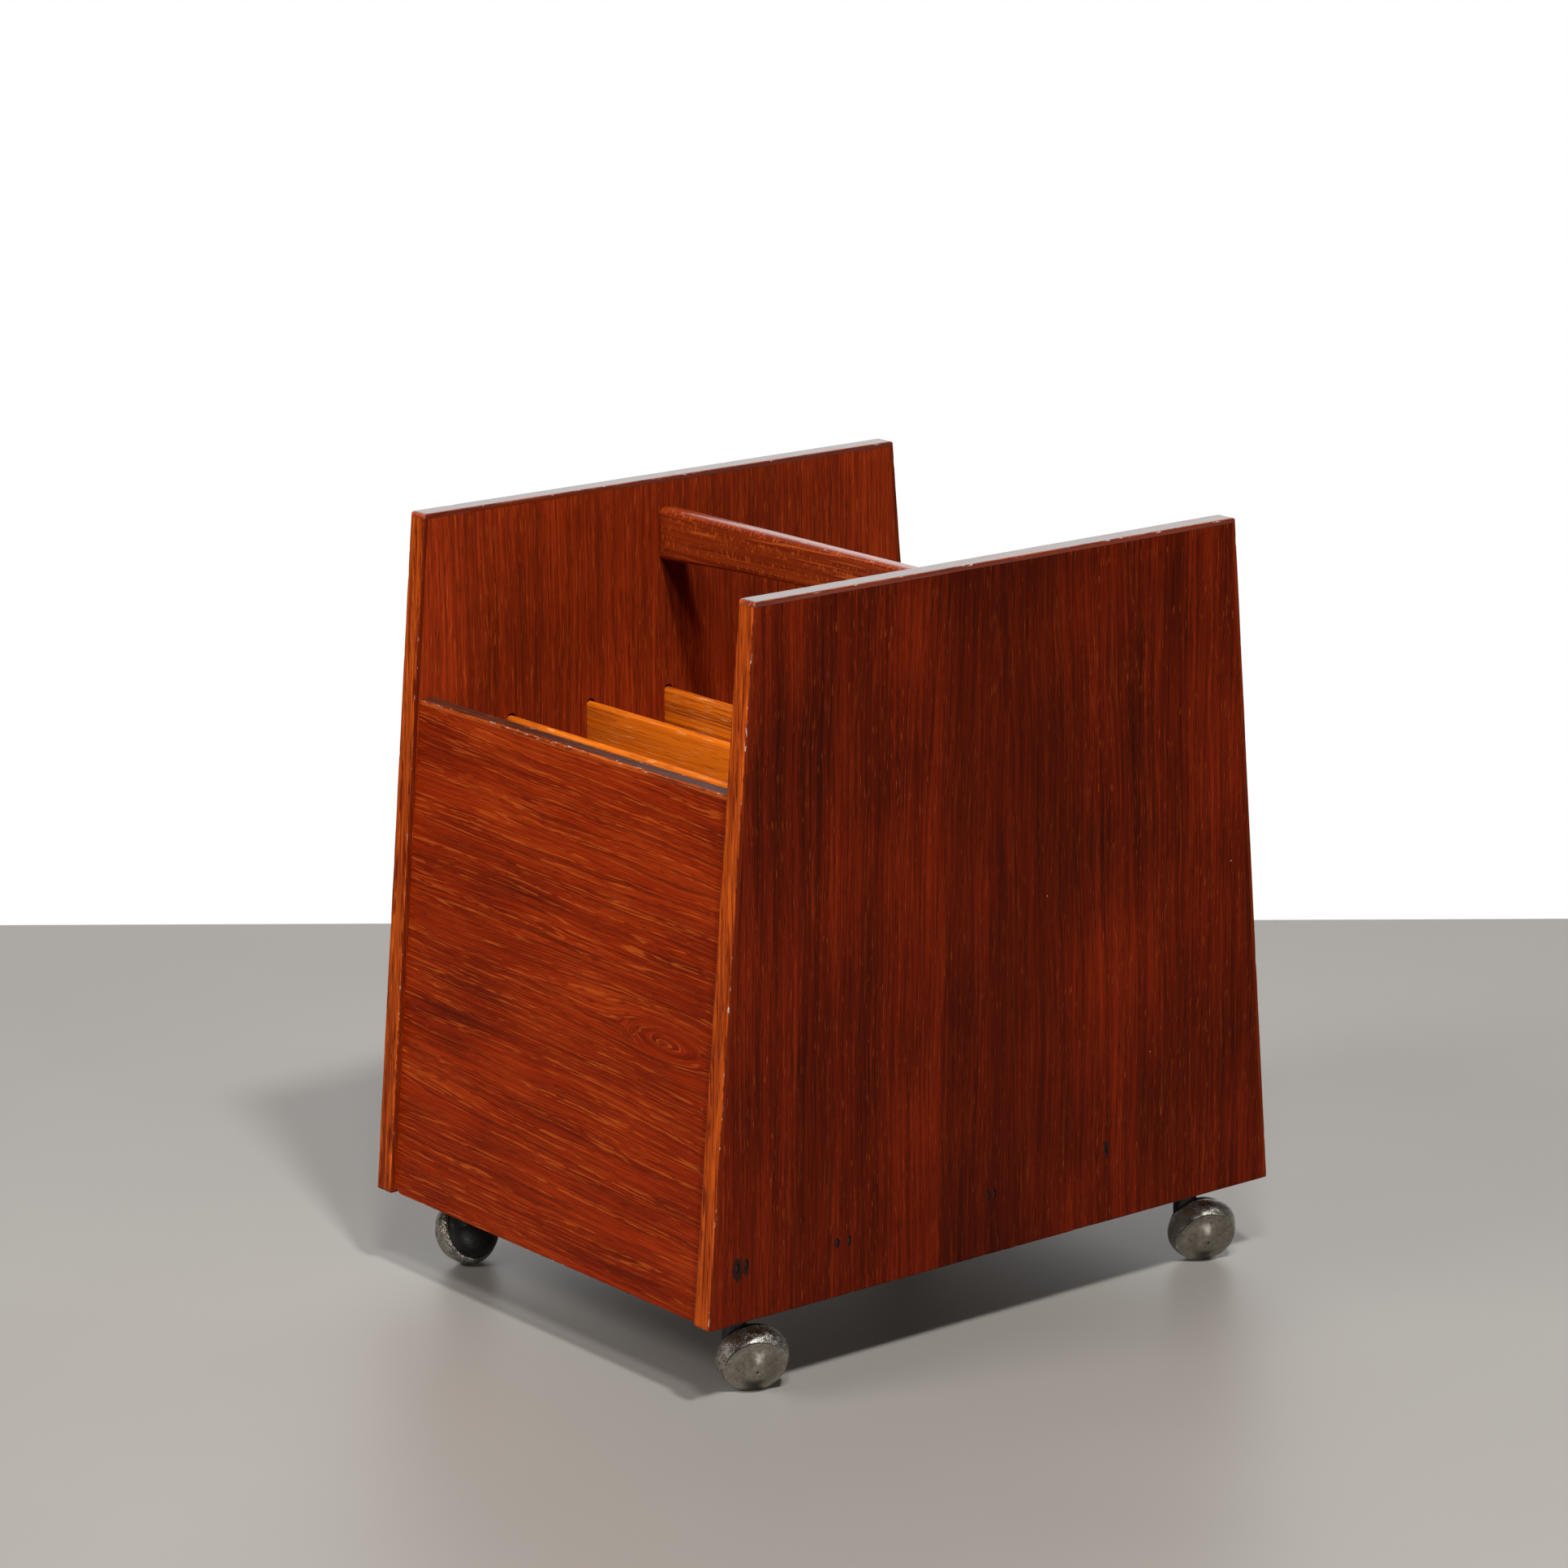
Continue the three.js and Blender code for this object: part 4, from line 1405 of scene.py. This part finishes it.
# ---- stage ----
CAMERA_PLACE = Vector((2.435016, -1.978695, 1.111823))
CAMERA_TURN = math.radians(51.322)
CAMERA_RISE = math.radians(14.408)
CAMERA_ROLL = math.radians(-0.2372)
CAMERA_LENS = 122.995
BEHIND = Vector((-math.sin(CAMERA_TURN), math.cos(CAMERA_TURN), 0))  # level, away from the camera
FLOOR_END = 0.77  # metres behind the rack's middle
LAMPS_AIM = Vector((0, 0, 0.2))

# Name, place, height and width in metres, and power in watts.
LAMPS = (
    ("key_front", (-0.5, -3.1, 2.6), 1.2, 1.2, 60),
    ("key_right", (2.3, -0.82, 3.8), 0.4, 0.4, 130),
    ("key_corner", (2.2, -1.7, 3.7), 0.5, 0.7, 72),
    ("over", (-0.6, 1.2, 3.2), 2.4, 2.4, 6),
    ("low_right", (2.94, -0.57, 0.45), 0.45, 0.45, 22),
)


class RACK_OT_stage(bpy.types.Operator):
    """Sets up the floor, the lights, the white surroundings and the camera"""

    bl_idname = "rack.stage"
    bl_label = "Stage"

    def execute(self, context):
        scene = context.scene
        self.floor(scene)
        self.surroundings(scene)
        for lamp in LAMPS:
            self.lamp(*lamp)
        self.camera(scene)
        scene.view_settings.view_transform = "Standard"
        return {"FINISHED"}

    def floor(self, scene):
        """A wide floor that ends in a straight line behind the rack, where the white ground begins."""
        right = Vector((math.cos(CAMERA_TURN), math.sin(CAMERA_TURN), 0))
        mesh = bmesh.new()
        ahead = [-12, -8, -4, -2, -1, 0.2, FLOOR_END]
        sideways = [-8, -4, -2, -1, 0, 1, 2, 4, 8]
        rows = [[mesh.verts.new(BEHIND * a + right * s) for s in sideways] for a in ahead]
        for near, far in zip(rows, rows[1:]):
            for i in range(len(sideways) - 1):
                mesh.faces.new((near[i], near[i + 1], far[i + 1], far[i]))
        floor = add_object("floor", mesh_data(mesh, "floor"))
        f = Finish("studio_floor", Specular_IOR_Level=0.4)
        x, y, _ = f.position()
        cloud = f.noise(x * 0.002, y * 0.002, 0.0, detail=3.0)
        base = tuple(scene.rack_colours.floor)
        deep = tuple(a * 0.93 for a in base)
        floor.data.materials.append(f.surface(f.ramp(cloud, (0.35, deep), (0.65, base)), 0.42))

    def surroundings(self, scene):
        """White where it is seen; as light, bright behind the rack and dimmer in front of it."""
        world = bpy.data.worlds.new("studio")
        scene.world = world
        world.use_nodes = True
        nodes = Nodes(world.node_tree)
        direction = nodes.node("ShaderNodeTexCoord", {}, {}, "Generated")
        glow = (BEHIND.x * 0.9, BEHIND.y * 0.9, 0.43)
        settings = {"operation": "DOT_PRODUCT"}
        near = nodes.node("ShaderNodeVectorMath", settings, {0: direction, 1: glow}, "Value")
        # from where to where the glow rises, and its dimmest and brightest
        levels = {0: near, 1: 0.76, 2: 0.99, 3: 0.025, 4: 1.35}
        light = nodes.node("ShaderNodeMapRange", {"interpolation_type": "SMOOTHSTEP"}, levels)
        seen = nodes.node("ShaderNodeLightPath", {}, {}, "Is Camera Ray")
        strength = nodes.node("ShaderNodeMix", {}, {"Factor": seen, "A": light, "B": 1.0}, "Result")
        background = world.node_tree.nodes["Background"].inputs
        nodes.fill(background["Strength"], strength)
        nodes.fill(background["Color"], (1, 1, 1))

    def lamp(self, name, place, height, width, power):
        data = bpy.data.lights.new(name, "AREA")
        data.shape = "ELLIPSE"
        data.size = width
        data.size_y = height
        data.energy = power
        lamp = add_object(name, data)
        lamp.location = place
        towards = LAMPS_AIM - Vector(place)
        lamp.rotation_euler = towards.to_track_quat("-Z", "Y").to_euler()

    def camera(self, scene):
        level = math.cos(CAMERA_RISE)
        back = Vector((math.sin(CAMERA_TURN) * level, -math.cos(CAMERA_TURN) * level, math.sin(CAMERA_RISE)))
        right = Vector((0, 0, 1)).cross(back).normalized()
        up = back.cross(right)
        cos = math.cos(CAMERA_ROLL)
        sin = math.sin(CAMERA_ROLL)
        rolled_right = right * cos + up * sin
        rolled_up = up * cos - right * sin
        data = bpy.data.cameras.new("camera")
        data.lens = CAMERA_LENS
        data.sensor_width = 36
        data.dof.use_dof = False
        camera = add_object("camera", data)
        turned = Matrix((rolled_right, rolled_up, back)).transposed().to_4x4()
        camera.matrix_world = Matrix.Translation(CAMERA_PLACE) @ turned
        scene.camera = camera


OPERATORS = (
    RACK_OT_stage,
    RACK_OT_side_panels,
    RACK_OT_end_panels,
    RACK_OT_dividers,
    RACK_OT_handle,
    RACK_OT_hidden_woodwork,
    RACK_OT_nails,
    RACK_OT_casters,
)


class RACK_PT_panel(bpy.types.Panel):
    """Lists the rack's pieces, sizes and colours"""

    bl_idname = "RACK_PT_panel"
    bl_label = "Magazine Rack"
    bl_space_type = "VIEW_3D"
    bl_region_type = "UI"
    bl_category = "Rack"

    def draw(self, context):
        for operator in OPERATORS:
            self.layout.operator(operator.bl_idname)
        for group in (context.scene.rack_sizes, context.scene.rack_colours):
            box = self.layout.box()
            for name in group.bl_rna.properties.keys():
                if name not in ("rna_type", "name"):
                    box.prop(group, name)


CLASSES = (RackSizes, RackColours, *OPERATORS, RACK_PT_panel)


def register():
    for cls in CLASSES:
        bpy.utils.register_class(cls)
    bpy.types.Scene.rack_sizes = bpy.props.PointerProperty(type=RackSizes)
    bpy.types.Scene.rack_colours = bpy.props.PointerProperty(type=RackColours)


def unregister():
    del bpy.types.Scene.rack_colours
    del bpy.types.Scene.rack_sizes
    for cls in reversed(CLASSES):
        bpy.utils.unregister_class(cls)


def main():
    register()
    for operator in OPERATORS:
        group, name = operator.bl_idname.split(".")
        getattr(getattr(bpy.ops, group), name)()


if __name__ == "__main__":
    main()
